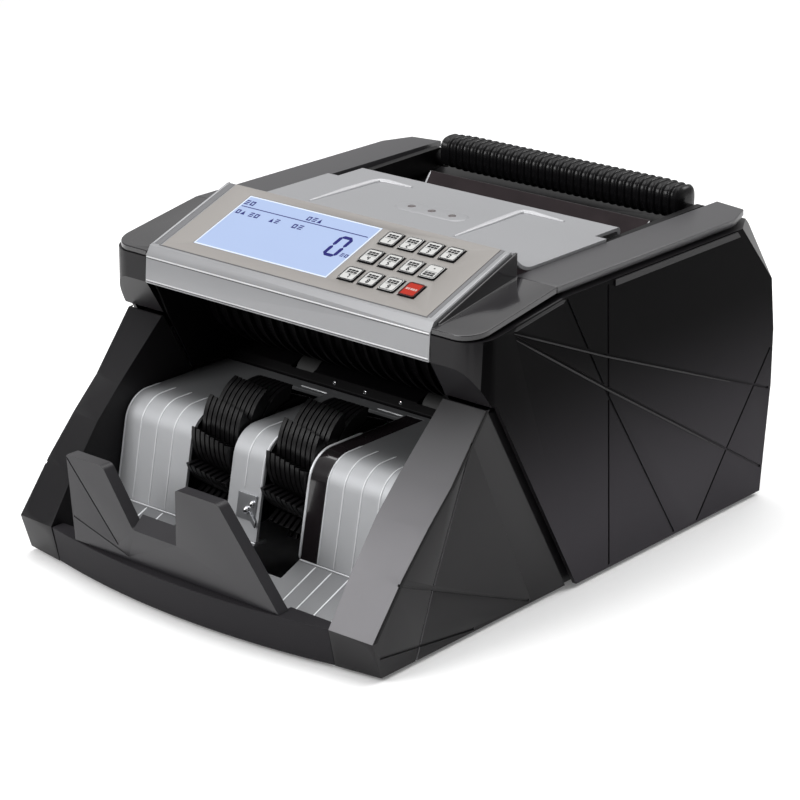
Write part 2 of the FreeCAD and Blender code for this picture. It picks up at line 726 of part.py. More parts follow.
def top_rail(name, side):
    """The flat rail along the top of one side, its rear end turned in."""
    inner, outer = dims.wing_in + dims.casing_gap, dims.rail_out
    plan = [(inner, dims.rail_front + dims.casing_gap), (outer, dims.rail_front + dims.casing_gap),
            (outer, 298.0), (118.5, 317.0), (inner, 320.5)]
    if side < 0:
        plan = [(-x, y) for x, y in plan]
    body = plan_slab("top_rail_" + name, plan, dims.rail_top - dims.rail_thick, dims.rail_top)
    top = dims.rail_top.value
    fillet(body, 0.8, lambda edge, middle: middle.z > top - 0.01 and abs(middle.x) > 103)
    spacer = sketch_on(body, "XY_Plane", dims.shell_top + 0.1)
    rectangle(spacer, low_x(side, inner + 2, outer - 3), dims.rail_front + 8, outer - 3 - inner - 2, 150.0)
    pad(body, spacer, dims.rail_top - dims.rail_thick - dims.shell_top)
    return body


def gloss_pad(name, side):
    """The gloss pad in front of a rail: it slopes down to a rounded front corner."""
    inner, outer = dims.wing_in + dims.casing_gap, dims.rail_out
    thick = dims.rail_thick
    rise = [(dims.head_front + 0.6, dims.pad_front_z - thick + 0.6), (dims.head_front + 0.6, dims.pad_front_z),
            (dims.rail_front, dims.rail_top), (dims.rail_front, dims.rail_top - thick)]
    body = side_slab("gloss_pad_" + name, rise, low_x(side, inner, outer), low_x(side, inner, outer) + outer - inner)
    outer_x, front = outer.value, dims.head_front.value
    fillet(body, dims.corner_round - 2, lambda edge, middle: abs(abs(middle.x) - outer_x) < 0.1
           and middle.y < front + 1.5 and edge.BoundBox.ZLength > 2)
    cheek_edge = sketch_on(body, "YZ_Plane", low_x(side, inner, inner + 1.6))
    outline(cheek_edge, [(dims.panel_y + 2, dims.pad_front_z - 1), (dims.panel_y + 2, dims.panel_z - 0.6),
                         (dims.rail_front, dims.panel_z + 21.0), (dims.rail_front, dims.rail_top - 1)])
    pad(body, cheek_edge, 1.6)
    return body


# ---------------------------------------------------------------- head

KEY_NAMES = ["key_%d" % index for index in range(1, 12)] + ["key_start"]


def key_places():
    """Name, x and distance up the slope of each key's centre, row by row from the back."""
    places = []
    for index, name in enumerate(KEY_NAMES):
        row, column = divmod(index, 4)
        places.append((name, dims.key_x + dims.key_pitch_x * column, dims.key_s - dims.key_pitch_s * row))
    return places


def cut_panel_openings(body, margin, depth):
    """The display window and the key windows, cut down through a plate on the panel's slope."""
    window = sketch_on_panel(body, 1.0)
    grow = as_size(margin)
    rectangle(window, dims.lcd_left - grow, dims.lcd_low - grow, dims.lcd_width + grow * 2,
              dims.lcd_height + grow * 2)
    for name, x, up in key_places():
        half_x = dims.key_width / 2 + 0.35 + grow
        half_s = dims.key_height / 2 + 0.35 + grow
        rectangle(window, x - half_x, up - half_s, half_x * 2, half_s * 2)
    return pocket(body, window, depth)


def panel_bezel():
    """The silver front of the head: a sloping plate over a flat front face."""
    thick = dims.panel_thick
    top_y, top_z = on_panel(dims.panel_len, 0.0)
    under_y, under_z = on_panel(dims.panel_len, -thick)
    low_y, low_z = on_panel(3.0, -thick)
    profile = [(dims.head_front - 0.8, dims.head_low - 0.2), (dims.head_front + 0.2, dims.panel_z - 4.6),
               (dims.panel_y, dims.panel_z), (top_y, top_z), (under_y, under_z), (low_y, low_z),
               (dims.head_front + 2.7, dims.panel_z - 5.2), (dims.head_front + 1.7, dims.head_low - 0.2)]
    body = side_slab("panel_bezel", profile, -dims.panel_half, dims.panel_half)
    recess = sketch_on_panel(body, 1.0)
    rectangle(recess, -dims.overlay_half - 0.2, 2.2, dims.overlay_half * 2 + 0.4, dims.panel_len + 4)
    pocket(body, recess, dims.overlay_thick + 1)
    cut_panel_openings(body, 0.3, 6.0)
    return body


def keypad_overlay():
    """The grey sheet around the display and the keys, flush with the bezel."""
    body = new_body("keypad_overlay")
    sheet = sketch_on_panel(body, -dims.overlay_thick)
    rectangle(sheet, -dims.overlay_half, 2.4, dims.overlay_half * 2, dims.panel_len - 2.4)
    pad(body, sheet, dims.overlay_thick)
    cut_panel_openings(body, 0.0, 4.0)
    return body


def lcd_window():
    body = new_body("lcd_window")
    pane = sketch_on_panel(body, -2.6)
    rectangle(pane, dims.lcd_left + 0.15, dims.lcd_low + 0.15, dims.lcd_width - 0.3, dims.lcd_height - 0.3)
    pad(body, pane, 2.5)
    return body


SWITCH_TOP = 5.0


def display_board():
    """The board under the panel: display module and one push switch under each key."""
    body = new_body("display_board")
    board = sketch_on_panel(body, -9.6)
    rectangle(board, dims.lcd_left - 6, 6.0, 162.0, 53.5)
    pad(body, board, 1.6)
    module = sketch_on_panel(body, -8.2)
    rectangle(module, dims.lcd_left - 1, dims.lcd_low - 1, dims.lcd_width + 2, dims.lcd_height + 1.5)
    pad(body, module, 5.0)
    switches = sketch_on_panel(body, -8.2)
    for name, x, up in key_places():
        rectangle(switches, x - 3.1, up - 3.1, 6.2, 6.2)
    pad(body, switches, 8.2 - SWITCH_TOP - dims.key_travel - 0.3)
    return body


def keys():
    """Twelve rounded caps, each on a short stem over its switch."""
    for name, x, up in key_places():
        body = new_body(name)
        cap = sketch_on_panel(body, -1.2)
        rectangle(cap, x - dims.key_width / 2, up - dims.key_height / 2, dims.key_width, dims.key_height)
        pad(body, cap, dims.key_proud + 1.2)
        fillet(body, 1.6, lambda edge, middle: abs(edge.BoundBox.XLength) < 1e-3
               and edge.BoundBox.YLength < 2 and edge.BoundBox.ZLength > 1.5)
        stem = sketch_on_panel(body, -SWITCH_TOP)
        circle(stem, x, up, 2.2)
        pad(body, stem, SWITCH_TOP - 1.0)


# ---------------------------------------------------------------- hopper and carry handle

def hopper_plate():
    """The silver plate behind the panel: swept up at the front, turned down at the rear edge."""
    thick = dims.sheet_thick
    top, rear = dims.plate_z, dims.plate_rear
    profile = [(141.5, 181.6, 3.0), (157.5, top), (rear - 3.3, top, -1.35), (rear, top - 3.3),
               (rear - 7, 146.0), (rear - 8.9, 146.6), (rear - 2.1, top - 3.5), (rear - 3.6, top - thick),
               (157.0, top - thick, -3.0), (140.4, 180.2)]
    body = side_slab("hopper_plate", profile, -dims.plate_half, dims.plate_half)
    corners = sketch_on(body, "XY_Plane", 130.0)
    notch = dims.plate_half - dims.plate_rear_half + 2
    rectangle(corners, dims.plate_rear_half, dims.plate_step, notch, 40.0)
    rectangle(corners, -dims.plate_rear_half - notch, dims.plate_step, notch, 40.0)
    pocket(body, corners, 60, reverse=True)
    holes = sketch_on(body, "XY_Plane", 175.0)
    for x in sensor_places():
        circle(holes, x, 198.0, 2.0)
    pocket(body, holes, 12)
    return body


def sensor_places():
    return [-17.5, -3.2, 11.1]


def hopper_sensors():
    """Three small lenses seated in the hopper plate's holes, and the board that carries them."""
    lenses = [rod_z(x, 198.0, 160.0, 1.9, 9.6, "Lens") for x in sensor_places()]
    board = box(-30.0, 190.0, 159.0, 54.0, 16.0, 1.6, "SensorBoard")
    fuse("hopper_sensors", lenses + [board])


def note_rest():
    """The smoked plate that the notes lean on, sloping down to the rollers."""
    lean = math.radians(dims.rest_lean.value)
    thick = 3.0
    run = (dims.rest_len.value * math.cos(lean), dims.rest_len.value * math.sin(lean))
    back = (thick * math.sin(lean), thick * math.cos(lean))
    profile = [(dims.rest_y, dims.rest_z), (dims.rest_y - run[0], dims.rest_z - run[1]),
               (dims.rest_y - run[0] + back[0], dims.rest_z - run[1] - back[1]),
               (dims.rest_y + back[0], dims.rest_z - back[1])]
    body = side_slab("note_rest", profile, -dims.rest_half, dims.rest_half)
    return body


def feed_ramp():
    """The floor of the hopper throat, slotted for the pickup rollers."""
    profile = [(213.0, 109.5), (251.0, 109.5), (270.0, 134.0), (271.6, 132.8), (252.0, 107.5), (213.0, 107.5)]
    body = side_slab("feed_ramp", profile, -96.0, 96.0)
    slots = sketch_on(body, "XY_Plane", 112.0)
    for x in (-30.0, 30.0):
        rectangle(slots, x - 14, 225.5, 28.0, 25.0)
    pocket(body, slots, 8)
    return body


def rounded_section(deep, high, corner):
    """The grip's section: a rectangle with its four corners turned by arcs."""
    y, z = dims.grip_y, dims.grip_z
    rise = corner * 0.293 * math.sqrt(2.0)
    half_y, half_z = deep / 2, high / 2
    return [(y - half_y + corner, z - half_z), (y + half_y - corner, z - half_z, rise),
            (y + half_y, z - half_z + corner), (y + half_y, z + half_z - corner, rise),
            (y + half_y - corner, z + half_z), (y - half_y + corner, z + half_z, rise),
            (y - half_y, z + half_z - corner), (y - half_y, z - half_z + corner, rise)]


def handle_grip():
    """The ribbed bar of the carry handle: a smooth core, its ribs and two end caps."""
    body = new_body("handle_grip")
    core = sketch_on(body, "YZ_Plane", -dims.grip_half)
    outline(core, rounded_section(dims.grip_deep - 3, dims.grip_high - 3, 5.0))
    pad(body, core, dims.grip_half * 2)
    for x in (-dims.grip_half, dims.grip_half - 4.5):
        cap = sketch_on(body, "YZ_Plane", x)
        outline(cap, rounded_section(dims.grip_deep, dims.grip_high, 6.5))
        pad(body, cap, 4.5)
    rib = sketch_on(body, "YZ_Plane", -dims.grip_half + 6.2)
    outline(rib, rounded_section(dims.grip_deep, dims.grip_high, 6.5))
    first = pad(body, rib, 2.5)
    row = body.newObject("PartDesign::LinearPattern", "Ribs")
    row.Originals = [first]
    row.Direction = ([feature for feature in body.Origin.OriginFeatures if feature.Role == "X_Axis"][0], [""])
    row.Length = (dims.grip_half.value - 7.5) * 2
    row.setExpression("Length", ((dims.grip_half - 7.5) * 2).text)
    row.Occurrences = int(dims.grip_ribs.value)
    body.Tip = row
    return body


def handle_arm(side):
    """A flat arm from the pivot to the end of the grip, with a boss that carries the grip."""
    body = new_body("handle_arm")
    x_low = low_x(side, dims.arm_in, dims.arm_in + dims.arm_thick)
    flat = sketch_on(body, "YZ_Plane", x_low)
    outline(flat, [(dims.pivot_y, dims.pivot_z - 6), (dims.grip_y, dims.grip_z - 12, 5.0),
                   (dims.grip_y, dims.grip_z), (dims.pivot_y, dims.pivot_z + 6, 5.0)])
    pad(body, flat, dims.arm_thick)
    boss = sketch_on(body, "YZ_Plane", low_x(side, dims.grip_half, dims.arm_in))
    circle(boss, dims.grip_y, dims.grip_z - 6, 5.0)
    pad(body, boss, dims.arm_in - dims.grip_half)
    bore = sketch_on(body, "YZ_Plane", x_low - 1)
    circle(bore, dims.pivot_y, dims.pivot_z, 2.55)
    pocket(body, bore, dims.arm_thick + 2, reverse=True)
    return body


def handle_pivots():
    """The two pins that the handle turns on, headed on the inside of the arms."""
    pins = []
    for side in (-1, 1):
        x = low_x(side, dims.arm_in - 2, dims.wing_in)
        head_x = low_x(side, dims.arm_in - 2, dims.arm_in - 0.3)
        pin = rod_x(x, dims.pivot_y, dims.pivot_z, 2.5, dims.wing_in - dims.arm_in + 2, "Pin")
        head = rod_x(head_x, dims.pivot_y, dims.pivot_z, 4.5, 1.7, "PinHead")
        pins.append(joined([pin, head]))
    group("handle_pivots", pins)


SHAFT_HOLES = (("transport_y", "transport_z"), ("transport_y", "pinch_roll_z"),
               ("feed_y", "feed_z"), ("pickup_y", "pickup_z"))


def inner_wall(side):
    """The black liner of the transport and the hopper on one side."""
    thin = 1.8
    profile = [(88.5, 121.0), (107.5, 85.0), (137.0, 85.0), (137.0, 60.0), (321.5, 60.0), (321.5, 150.0),
               (316.0, 165.2), (142.0, 165.2), (92.0, 153.5), (79.5, 151.0), (79.5, 141.5)]
    x_low = low_x(side, dims.wing_in - thin, dims.wing_in)
    body = side_slab("inner_wall", profile, x_low, x_low + thin)
    holes = sketch_on(body, "YZ_Plane", x_low - 1)
    for y, z in SHAFT_HOLES:
        circle(holes, dims.sizes[y], dims.sizes[z], dims.shaft_radius + 1.5)
    circle(holes, dims.pivot_y, dims.pivot_z, 2.5)
    pocket(body, holes, thin + 2, reverse=True)
    return body


# ---------------------------------------------------------------- stacker

def stacker_section():
    """Side view of the stacker plate: upright face, bend, level deck, 2 mm thick."""
    lean = math.radians(dims.face_lean.value)
    bend, thick = dims.face_bend.value, dims.sheet_thick.value
    foot = (dims.face_foot_y.value, dims.face_foot_z.value)
    along = (math.sin(lean), math.cos(lean))
    inward = (math.cos(lean), -math.sin(lean))
    deck = dims.deck_z.value
    rise = (deck - bend * (1 - inward[1] * -1) - foot[1]) / along[1]
    start = (foot[0] + along[0] * rise, foot[1] + along[1] * rise)
    centre = (start[0] + inward[0] * bend, start[1] + inward[1] * bend)
    top = (centre[0], centre[1] + bend)
    half_turn = math.acos(along[0] * 1.0) / 2
    outer_bulge = -bend * (1 - math.cos(half_turn))
    inner_bulge = (bend - thick) * (1 - math.cos(half_turn))
    inside = (start[0] + inward[0] * thick, start[1] + inward[1] * thick)
    return [(foot[0], foot[1]), (start[0], start[1], outer_bulge), (top[0], top[1]),
            (dims.deck_rear, top[1]), (dims.deck_rear, top[1] - thick),
            (top[0], top[1] - thick, inner_bulge), inside,
            (foot[0] + inward[0] * thick, foot[1] + inward[1] * thick)]


def wheel_slots(body, height, depth):
    """Slots for the two impellers, and the window for the smoked strip."""
    slots = sketch_on(body, "XY_Plane", height)
    run = dims.slot_rear_y - dims.slot_front_y
    for middle in (dims.slot_one, dims.slot_two):
        rectangle(slots, middle - dims.slot_half, dims.slot_front_y, dims.slot_half * 2, run)
    pocket(body, slots, depth)
    window = sketch_on(body, "XY_Plane", height)
    rectangle(window, dims.strip_left - 0.2, dims.slot_front_y, dims.strip_width + 0.4, run + 6)
    pocket(body, window, depth)


def stacker_plate():
    body = side_slab("stacker_plate", stacker_section(), -dims.stacker_half, dims.stacker_half)
    wheel_slots(body, 100.0, 90)
    return body


def sensor_strip():
    """The smoked strip beside the right impeller, on the stacker plate's own line."""
    body = side_slab("sensor_strip", stacker_section(), dims.strip_left, dims.strip_left + dims.strip_width)
    rear = sketch_on(body, "XY_Plane", 100.0)
    rectangle(rear, 20.0, dims.slot_rear_y + 5.7, 40.0, 20.0)
    pocket(body, rear, 40)
    return body


def stacker_tray():
    """The sloping tray under the stacked notes, slotted for the impellers."""
    fall = math.radians(dims.tray_slope.value)
    run = dims.face_foot_y - dims.tray_front
    drop = run * math.tan(fall)
    thick = dims.sheet_thick
    rear_y, rear_z = dims.face_foot_y - 0.3, dims.face_foot_z - 0.6
    profile = [(dims.tray_front, rear_z - drop), (rear_y, rear_z), (rear_y + 8, rear_z),
               (rear_y + 8, rear_z - thick), (rear_y, rear_z - thick),
               (dims.tray_front + 0.5, rear_z - drop - thick), (dims.tray_front + 0.5, 4.6),
               (dims.tray_front - 1.3, 4.6)]
    body = side_slab("stacker_tray", profile, -dims.stacker_half, dims.stacker_half)
    slots = sketch_on(body, "XY_Plane", 60.0)
    for middle in (dims.slot_one, dims.slot_two):
        rectangle(slots, middle - dims.slot_half, dims.slot_front_y, dims.slot_half * 2, 60.0)
    pocket(body, slots, 50)
    return body


def stacker_sensor():
    """A small bracket on the middle of the stacker plate with two bright lenses."""
    foot, lean = dims.face_foot_y.value, math.tan(math.radians(dims.face_lean.value))
    low, high = [foot + (z - dims.face_foot_z.value) * lean for z in (35.0, 50.0)]
    body = side_slab("stacker_sensor", [(low - 1.6, 35.0), (low - 0.2, 35.0), (high - 0.2, 50.0),
                                        (high - 1.6, 50.0)], -11.5, 3.5)
    lenses = sketch_on(body, "XZ_Plane", -(low + 0.6))
    circle(lenses, -4.6, 40.5, 1.7)
    circle(lenses, -1.2, 44.0, 1.7)
    pad(body, lenses, 3.6)
    return body


def vane_disc(x, thick, turn):
    """A disc of broad trailing vanes with slits between them: each vane's two faces are arcs."""
    tip, root = dims.wheel_radius.value, dims.wheel_radius.value * 0.45
    vane, sweep = 7.9, 70.0
    count = int(dims.wheel_vanes.value)
    pitch = 360.0 / count

    def spot(radius, degrees):
        angle = math.radians(degrees + turn)
        return Vector(x, radius * math.cos(angle), radius * math.sin(angle))

    def spiral(behind):
        return tip - (tip - root) * behind / sweep

    edges = []
    for index in range(count):
        start = index * pitch
        after = start + pitch
        depth = sweep - pitch
        outer = [spot(spiral(part * sweep), start + part * sweep) for part in (0.0, 0.5, 1.0)]
        inner = [spot(spiral(part * depth) - vane, after + part * depth) for part in (1.0, 0.5, 0.0)]
        edges.append(Part.Arc(*outer).toShape())
        edges.append(Part.LineSegment(outer[2], inner[0]).toShape())
        edges.append(Part.Arc(*inner).toShape())
        edges.append(Part.LineSegment(inner[2], spot(tip, after)).toShape())
    return Part.Face(Part.Wire(edges)).extrude(Vector(thick, 0, 0))


def impeller(middle):
    """One impeller: discs of vanes on a hub, each disc turned a little from the one before."""
    count = int(dims.wheel_discs.value)
    width = dims.wheel_width.value
    thick = 2.6
    start = middle.value - width / 2
    step = (width - thick) / (count - 1)
    discs = [vane_disc(start + index * step, thick, index * dims.wheel_twist.value) for index in range(count)]
    hub = Part.makeCylinder(dims.wheel_hub.value, width, Vector(start, 0, 0), Vector(1, 0, 0))
    bore = Part.makeCylinder(dims.shaft_radius.value, width + 2, Vector(start - 1, 0, 0), Vector(1, 0, 0))
    return hub.multiFuse(discs).cut(bore)


def impellers():
    """Both impellers, keyed to one shaft."""
    shape = Part.makeCompound([impeller(dims.slot_one), impeller(dims.slot_two)])
    wheels = doc.addObject("Part::Feature", "Impellers")
    wheels.Shape = shape
    wheels.Placement = Placement(Vector(), Rotation())
    place(wheels, 0.0, dims.wheel_y, dims.wheel_z)
    named(wheels, "impellers")


# ---------------------------------------------------------------- transport

def shaft_and(label, y, z, rollers, ends=(-106.0, 106.0)):
    """A shaft along X with coaxial rollers or pulleys given as (x, width, radius)."""
    parts = [rod_x(ends[0], y, z, dims.shaft_radius, ends[1] - ends[0], "Shaft")]
    for x, width, radius in rollers:
        parts.append(rod_x(x, y, z, radius, width, "Roller"))
    fuse(label, parts)


def pulley(x, pitch_radius):
    """A flanged belt pulley as roller pieces around the belt's width."""
    groove = pitch_radius - dims.belt_thick / 2 - 0.05
    return [(x, dims.belt_width + 1, groove), (x - 1, 1.0, pitch_radius + 1.6),
            (x + dims.belt_width + 1, 1.0, pitch_radius + 1.6)]


RIGHT_NEAR = 106.5
RIGHT_FAR = 114.6
LEFT_NEAR = -112.5


def shafts():
    """The turning shafts with their rollers and pulleys."""
    shaft_and("impeller_shaft", dims.wheel_y, dims.wheel_z, pulley(RIGHT_NEAR, dims.wheel_pulley),
              (-106.0, 114.0))
    shaft_and("feed_roller_shaft", dims.feed_y, dims.feed_z,
              [(-42.0, 24.0, dims.feed_radius), (18.0, 24.0, dims.feed_radius)]
              + pulley(RIGHT_NEAR, dims.feed_pulley) + pulley(RIGHT_FAR, dims.feed_pulley)
              + pulley(LEFT_NEAR, dims.feed_pulley), (-114.0, 122.0))
    shaft_and("pickup_roller_shaft", dims.pickup_y, dims.pickup_z,
              [(-42.0, 24.0, dims.pickup_radius), (18.0, 24.0, dims.pickup_radius)]
              + pulley(LEFT_NEAR, dims.pickup_pulley), (-114.0, 106.0))
    shaft_and("transport_roller_shaft", dims.transport_y, dims.transport_z,
              [(-52.0, 14.0, dims.transport_radius), (38.0, 14.0, dims.transport_radius)]
              + pulley(RIGHT_NEAR, dims.transport_pulley) + pulley(RIGHT_FAR, dims.transport_pulley),
              (-106.0, 122.0))
    shaft_and("pinch_rollers", dims.transport_y, dims.pinch_roll_z,
              [(-52.0, 14.0, dims.pinch_roll_radius), (38.0, 14.0, dims.pinch_roll_radius)])
    shaft_and("motor_pulley", dims.motor_y, dims.motor_z, pulley(RIGHT_NEAR, dims.motor_pulley),
              (97.5, 114.0))


def belt(x, first, second):
    """A flat belt round two pulleys, each given as (y, z, pitch radius)."""
    half = dims.belt_thick.value / 2
    (y1, z1, r1), (y2, z2, r2) = [[number(value) for value in wheel] for wheel in (first, second)]
    span = math.hypot(y2 - y1, z2 - z1)
    heading = math.atan2(z2 - z1, y2 - y1)
    tilt = math.acos((r1 - r2) / span)

    def loop(grow):
        def spot(y, z, radius, angle):
            return Vector(x, y + radius * math.cos(angle), z + radius * math.sin(angle))
        ends = ((y1, z1, r1 + grow), (y2, z2, r2 + grow))
        upper = [spot(y, z, radius, heading + tilt) for y, z, radius in ends]
        lower = [spot(y, z, radius, heading - tilt) for y, z, radius in ends]
        back = spot(y1, z1, r1 + grow, heading + math.pi)
        front = spot(y2, z2, r2 + grow, heading)
        return Part.Face(Part.Wire([
            Part.LineSegment(upper[0], upper[1]).toShape(), Part.Arc(upper[1], front, lower[1]).toShape(),
            Part.LineSegment(lower[1], lower[0]).toShape(), Part.Arc(lower[0], back, upper[0]).toShape()]))

    width = Vector(dims.belt_width.value, 0, 0)
    return loop(half).extrude(width).cut(loop(-half).extrude(width))


def drive_belts():
    """Motor to feed shaft, feed to transport, transport to impellers, feed to pickup."""
    feed = (dims.feed_y, dims.feed_z, dims.feed_pulley)
    transport = (dims.transport_y, dims.transport_z, dims.transport_pulley)
    pickup = (dims.pickup_y, dims.pickup_z, dims.pickup_pulley)
    wheel = (dims.wheel_y, dims.wheel_z, dims.wheel_pulley)
    motor = (dims.motor_y, dims.motor_z, dims.motor_pulley)
    loops = [belt(RIGHT_NEAR + 0.5, motor, feed), belt(RIGHT_FAR + 0.5, transport, feed),
             belt(RIGHT_NEAR + 0.5, transport, wheel), belt(LEFT_NEAR + 0.5, feed, pickup)]
    belts = doc.addObject("Part::Feature", "Belts")
    belts.Shape = Part.makeCompound(loops)
    place(belts, 0.0, 0.0, 0.0)
    named(belts, "drive_belts")


BEARING_SPOTS = (("wheel_y", "wheel_z"),) + SHAFT_HOLES


def bearings():
    """A plain bearing at each end of each shaft, pressed into the side frames."""
    rings = []
    for y, z in BEARING_SPOTS:
        for side in (-1, 1):
            x = low_x(side, dims.frame_in, dims.frame_in + 3.2)
            ring = doc.addObject("Part::Cut", "Bearing")
            ring.Base = rod_x(x, dims.sizes[y], dims.sizes[z], 7.0, 3.2, "Ring")
            ring.Tool = rod_x(x - 1, dims.sizes[y], dims.sizes[z], dims.shaft_radius + 0.05, 5.6, "Bore")
            rings.append(ring)
    group("bearings", rings)


def side_frame(side):
    """A steel plate that carries the shafts' bearings on one side."""
    profile = [(62.0, 5.0), (62.0, 80.0), (92.0, 108.0), (130.0, 116.0), (130.0, 150.0), (285.0, 150.0),
               (318.0, 120.0), (318.0, 5.0)]
    x_low = low_x(side, dims.frame_in, dims.frame_in + dims.frame_thick)
    body = side_slab("side_frame", profile, x_low, x_low + dims.frame_thick)
    holes = sketch_on(body, "YZ_Plane", x_low - 1)
    for y, z in BEARING_SPOTS:
        circle(holes, dims.sizes[y], dims.sizes[z], 7.0)
    if side > 0:
        circle(holes, dims.motor_y, dims.motor_z, 9.0)
    pocket(body, holes, dims.frame_thick + 2, reverse=True)
    return body


def trimmed(base, tools):
    """A cut that is part of a larger build."""
    piece = doc.addObject("Part::Cut", "Trimmed")
    piece.Base = base
    piece.Tool = joined(tools)
    return piece


def upper_guide():
    """The trough over the transport rollers, ribbed on the front where the notes leave."""
    y, z, radius = dims.transport_y, dims.drum_z, dims.drum_radius
    ribs = [rod_x(-89.2 + 8.4 * index, y, z, radius + 2.5, 2.0, "Rib") for index in range(22)]
    behind = [box(-100.0, y, z - 50, 200.0, 60.0, 120.0, "Behind"),
              box(-100.0, y - 60, z, 200.0, 120.0, 60.0, "Above")]
    drum = joined([rod_x(-96.0, y, z, radius, 192.0, "Drum"), trimmed(joined(ribs), behind)])
    openings = [rod_x(-97.0, y, z, radius - 2.5, 194.0, "Bore"),
                box(-97.0, y - radius - 4, z + 8, 194.0, radius * 2 + 8, 60.0, "Mouth")]
    openings += [box(x - 8, y - 11.5, 88.0, 16.0, 23.0, 18.0, "RollerSlot") for x in (-45.0, 45.0)]
    cut("upper_guide", drum, openings)


def lower_guide():
    """The curved floor that the notes slide over, slotted for the transport rollers."""
    profile = [(135.4, 60.0), (135.4, 83.5), (139.0, 87.5), (150.0, 91.0), (166.0, 95.0), (177.6, 102.2),
               (178.8, 101.2), (167.0, 93.2), (150.6, 89.0), (140.0, 85.8), (137.4, 82.6), (137.4, 60.0)]
    body = side_slab("lower_guide", profile, -96.5, 96.5)
    slots = sketch_on(body, "XY_Plane", 110.0)
    for x in (-45.0, 45.0):
        rectangle(slots, x - 8, dims.transport_y - 13.5, 16.0, 27.0)
    pocket(body, slots, 30)
    return body


def retard_pad():
    """The rubber pads that hold back all but the lowest note, on their crossbar."""
    bar = box(-96.5, 188.0, 116.0, 193.0, 14.0, 3.0, "Crossbar")
    blocks = [box(x - 8, 190.0, 108.6, 16.0, 10.0, 7.6, "Block") for x in (-30.0, 30.0)]
    fuse("retard_pad", [bar] + blocks)


# ---------------------------------------------------------------- electrical

def motor():
    can = rod_x(38.0, dims.motor_y, dims.motor_z, dims.motor_radius, 58.0, "Can")
    nose = rod_x(96.0, dims.motor_y, dims.motor_z, 7.0, 1.2, "Nose")
    foot = box(44.0, dims.motor_y - 20, dims.floor_gap + 2, 46.0, 40.0,
               dims.motor_z - dims.floor_gap - 2 - dims.motor_radius + 3, "Foot")
    fuse("motor", [can, nose, foot])


def transformer():
    """Iron core with a coil on the bottom plate."""
    core = box(-88.0, 262.0, dims.floor_gap + 2, 56.0, 44.0, 40.0, "Core")
    coil = box(-94.0, 270.0, dims.floor_gap + 8, 68.0, 28.0, 30.0, "Coil")
    fuse("transformer", [core, coil])


def main_board():
    """The control board on posts, with its larger components."""
    top = dims.floor_gap + 2 + 6
    board = box(-92.0, 150.0, top, 108.0, 92.0, 1.6, "Board")
    posts = [rod_z(x, y, dims.floor_gap + 2, 3.0, 6.0, "Post")
             for x in (-86.0, 10.0) for y in (156.0, 236.0)]
    sizes = ((-80.0, 165.0, 20.0, 20.0, 2.5), (-50.0, 165.0, 14.0, 28.0, 4.0), (-20.0, 170.0, 26.0, 12.0, 9.0),
             (-80.0, 205.0, 30.0, 8.0, 8.0), (-30.0, 210.0, 12.0, 12.0, 14.0), (-8.0, 210.0, 16.0, 16.0, 10.0))
    chips = [box(x, y, top + 1.6, width, depth, height, "Component") for x, y, width, depth, height in sizes]
    fuse("main_board", [board] + posts + chips)


def power_inlet():
    """A three-pin mains inlet in the rear cover."""
    front = dims.rear_mid_y - 24
    shell = box(dims.inlet_x - 13.8, front, dims.fitting_z - 10, 27.6, 24.5, 20.0, "InletShell")
    well = box(dims.inlet_x - 12, front + 8, dims.fitting_z - 8, 24.0, 30.0, 16.0, "InletWell")
    hollow = doc.addObject("Part::Cut", "InletBody")
    hollow.Base = shell
    hollow.Tool = well
    pins = [box(dims.inlet_x + x - 1, front + 7, dims.fitting_z + z - 2, 2.0, 14.0, 4.0, "Blade")
            for x, z in ((-7.0, -2.0), (0.0, 2.0), (7.0, -2.0))]
    fuse("power_inlet", [hollow] + pins)


def switch_frame_and_rocker():
    """The power switch: a frame in the rear cover and the rocker that tilts in it."""
    front = dims.rear_mid_y - 16
    shell = box(dims.switch_x - 6.6, front, dims.fitting_z - 9.6, 13.2, 16.5, 19.2, "SwitchShell")
    well = box(dims.switch_x - 5.2, front + 2, dims.fitting_z - 8.2, 10.4, 20.0, 16.4, "SwitchWell")
    cut("switch_housing", shell, [well])
    body = new_body("switch_rocker")
    x_low = dims.switch_x - 4.9
    rocker = sketch_on(body, "YZ_Plane", x_low)
    face = dims.rear_mid_y + 1.2
    middle = dims.fitting_z
    outline(rocker, [(front + 8, middle - 3.5), (face - 1.5, middle - 6.9), (face + 1.2, middle - 6.7),
                     (face - 0.6, middle), (face + 1.2, middle + 6.7), (face - 1.5, middle + 6.9),
                     (front + 8, middle + 3.5), (front + 5, middle)])
    pad(body, rocker, 9.8)
    return body


def feed_gap_knob():
    """The knurled knob behind the machine that sets the feed gap, with its spindle."""
    y = dims.rear_mid_y
    parts = [rod_y(0.0, y - 24, dims.knob_z, 3.0, 26.0, "Spindle"),
             rod_y(0.0, y - 1.2, dims.knob_z, 9.0, 5.7, "Knob"),
             box(-1.2, y - 0.5, dims.knob_z, 2.4, 5.0, 10.2, "Pointer")]
    fuse("feed_gap_knob", parts)


def casing_screws():
    """Screws up through the bottom plate's underside and into the rear cover."""
    parts = []
    for x in (-70.0, 70.0):
        for y in (60.0, 180.0, 290.0):
            parts.append(rod_z(x, y, dims.floor_gap - 1.4, 3.2, 1.4, "BaseScrew"))
    group("casing_screws", parts)


def grouped(label, bodies):
    """Join bodies made on both sides into one node of separate solids."""
    for body in bodies:
        nodes.remove(body)
        body.Label = label + "_piece"
    group(label, bodies)


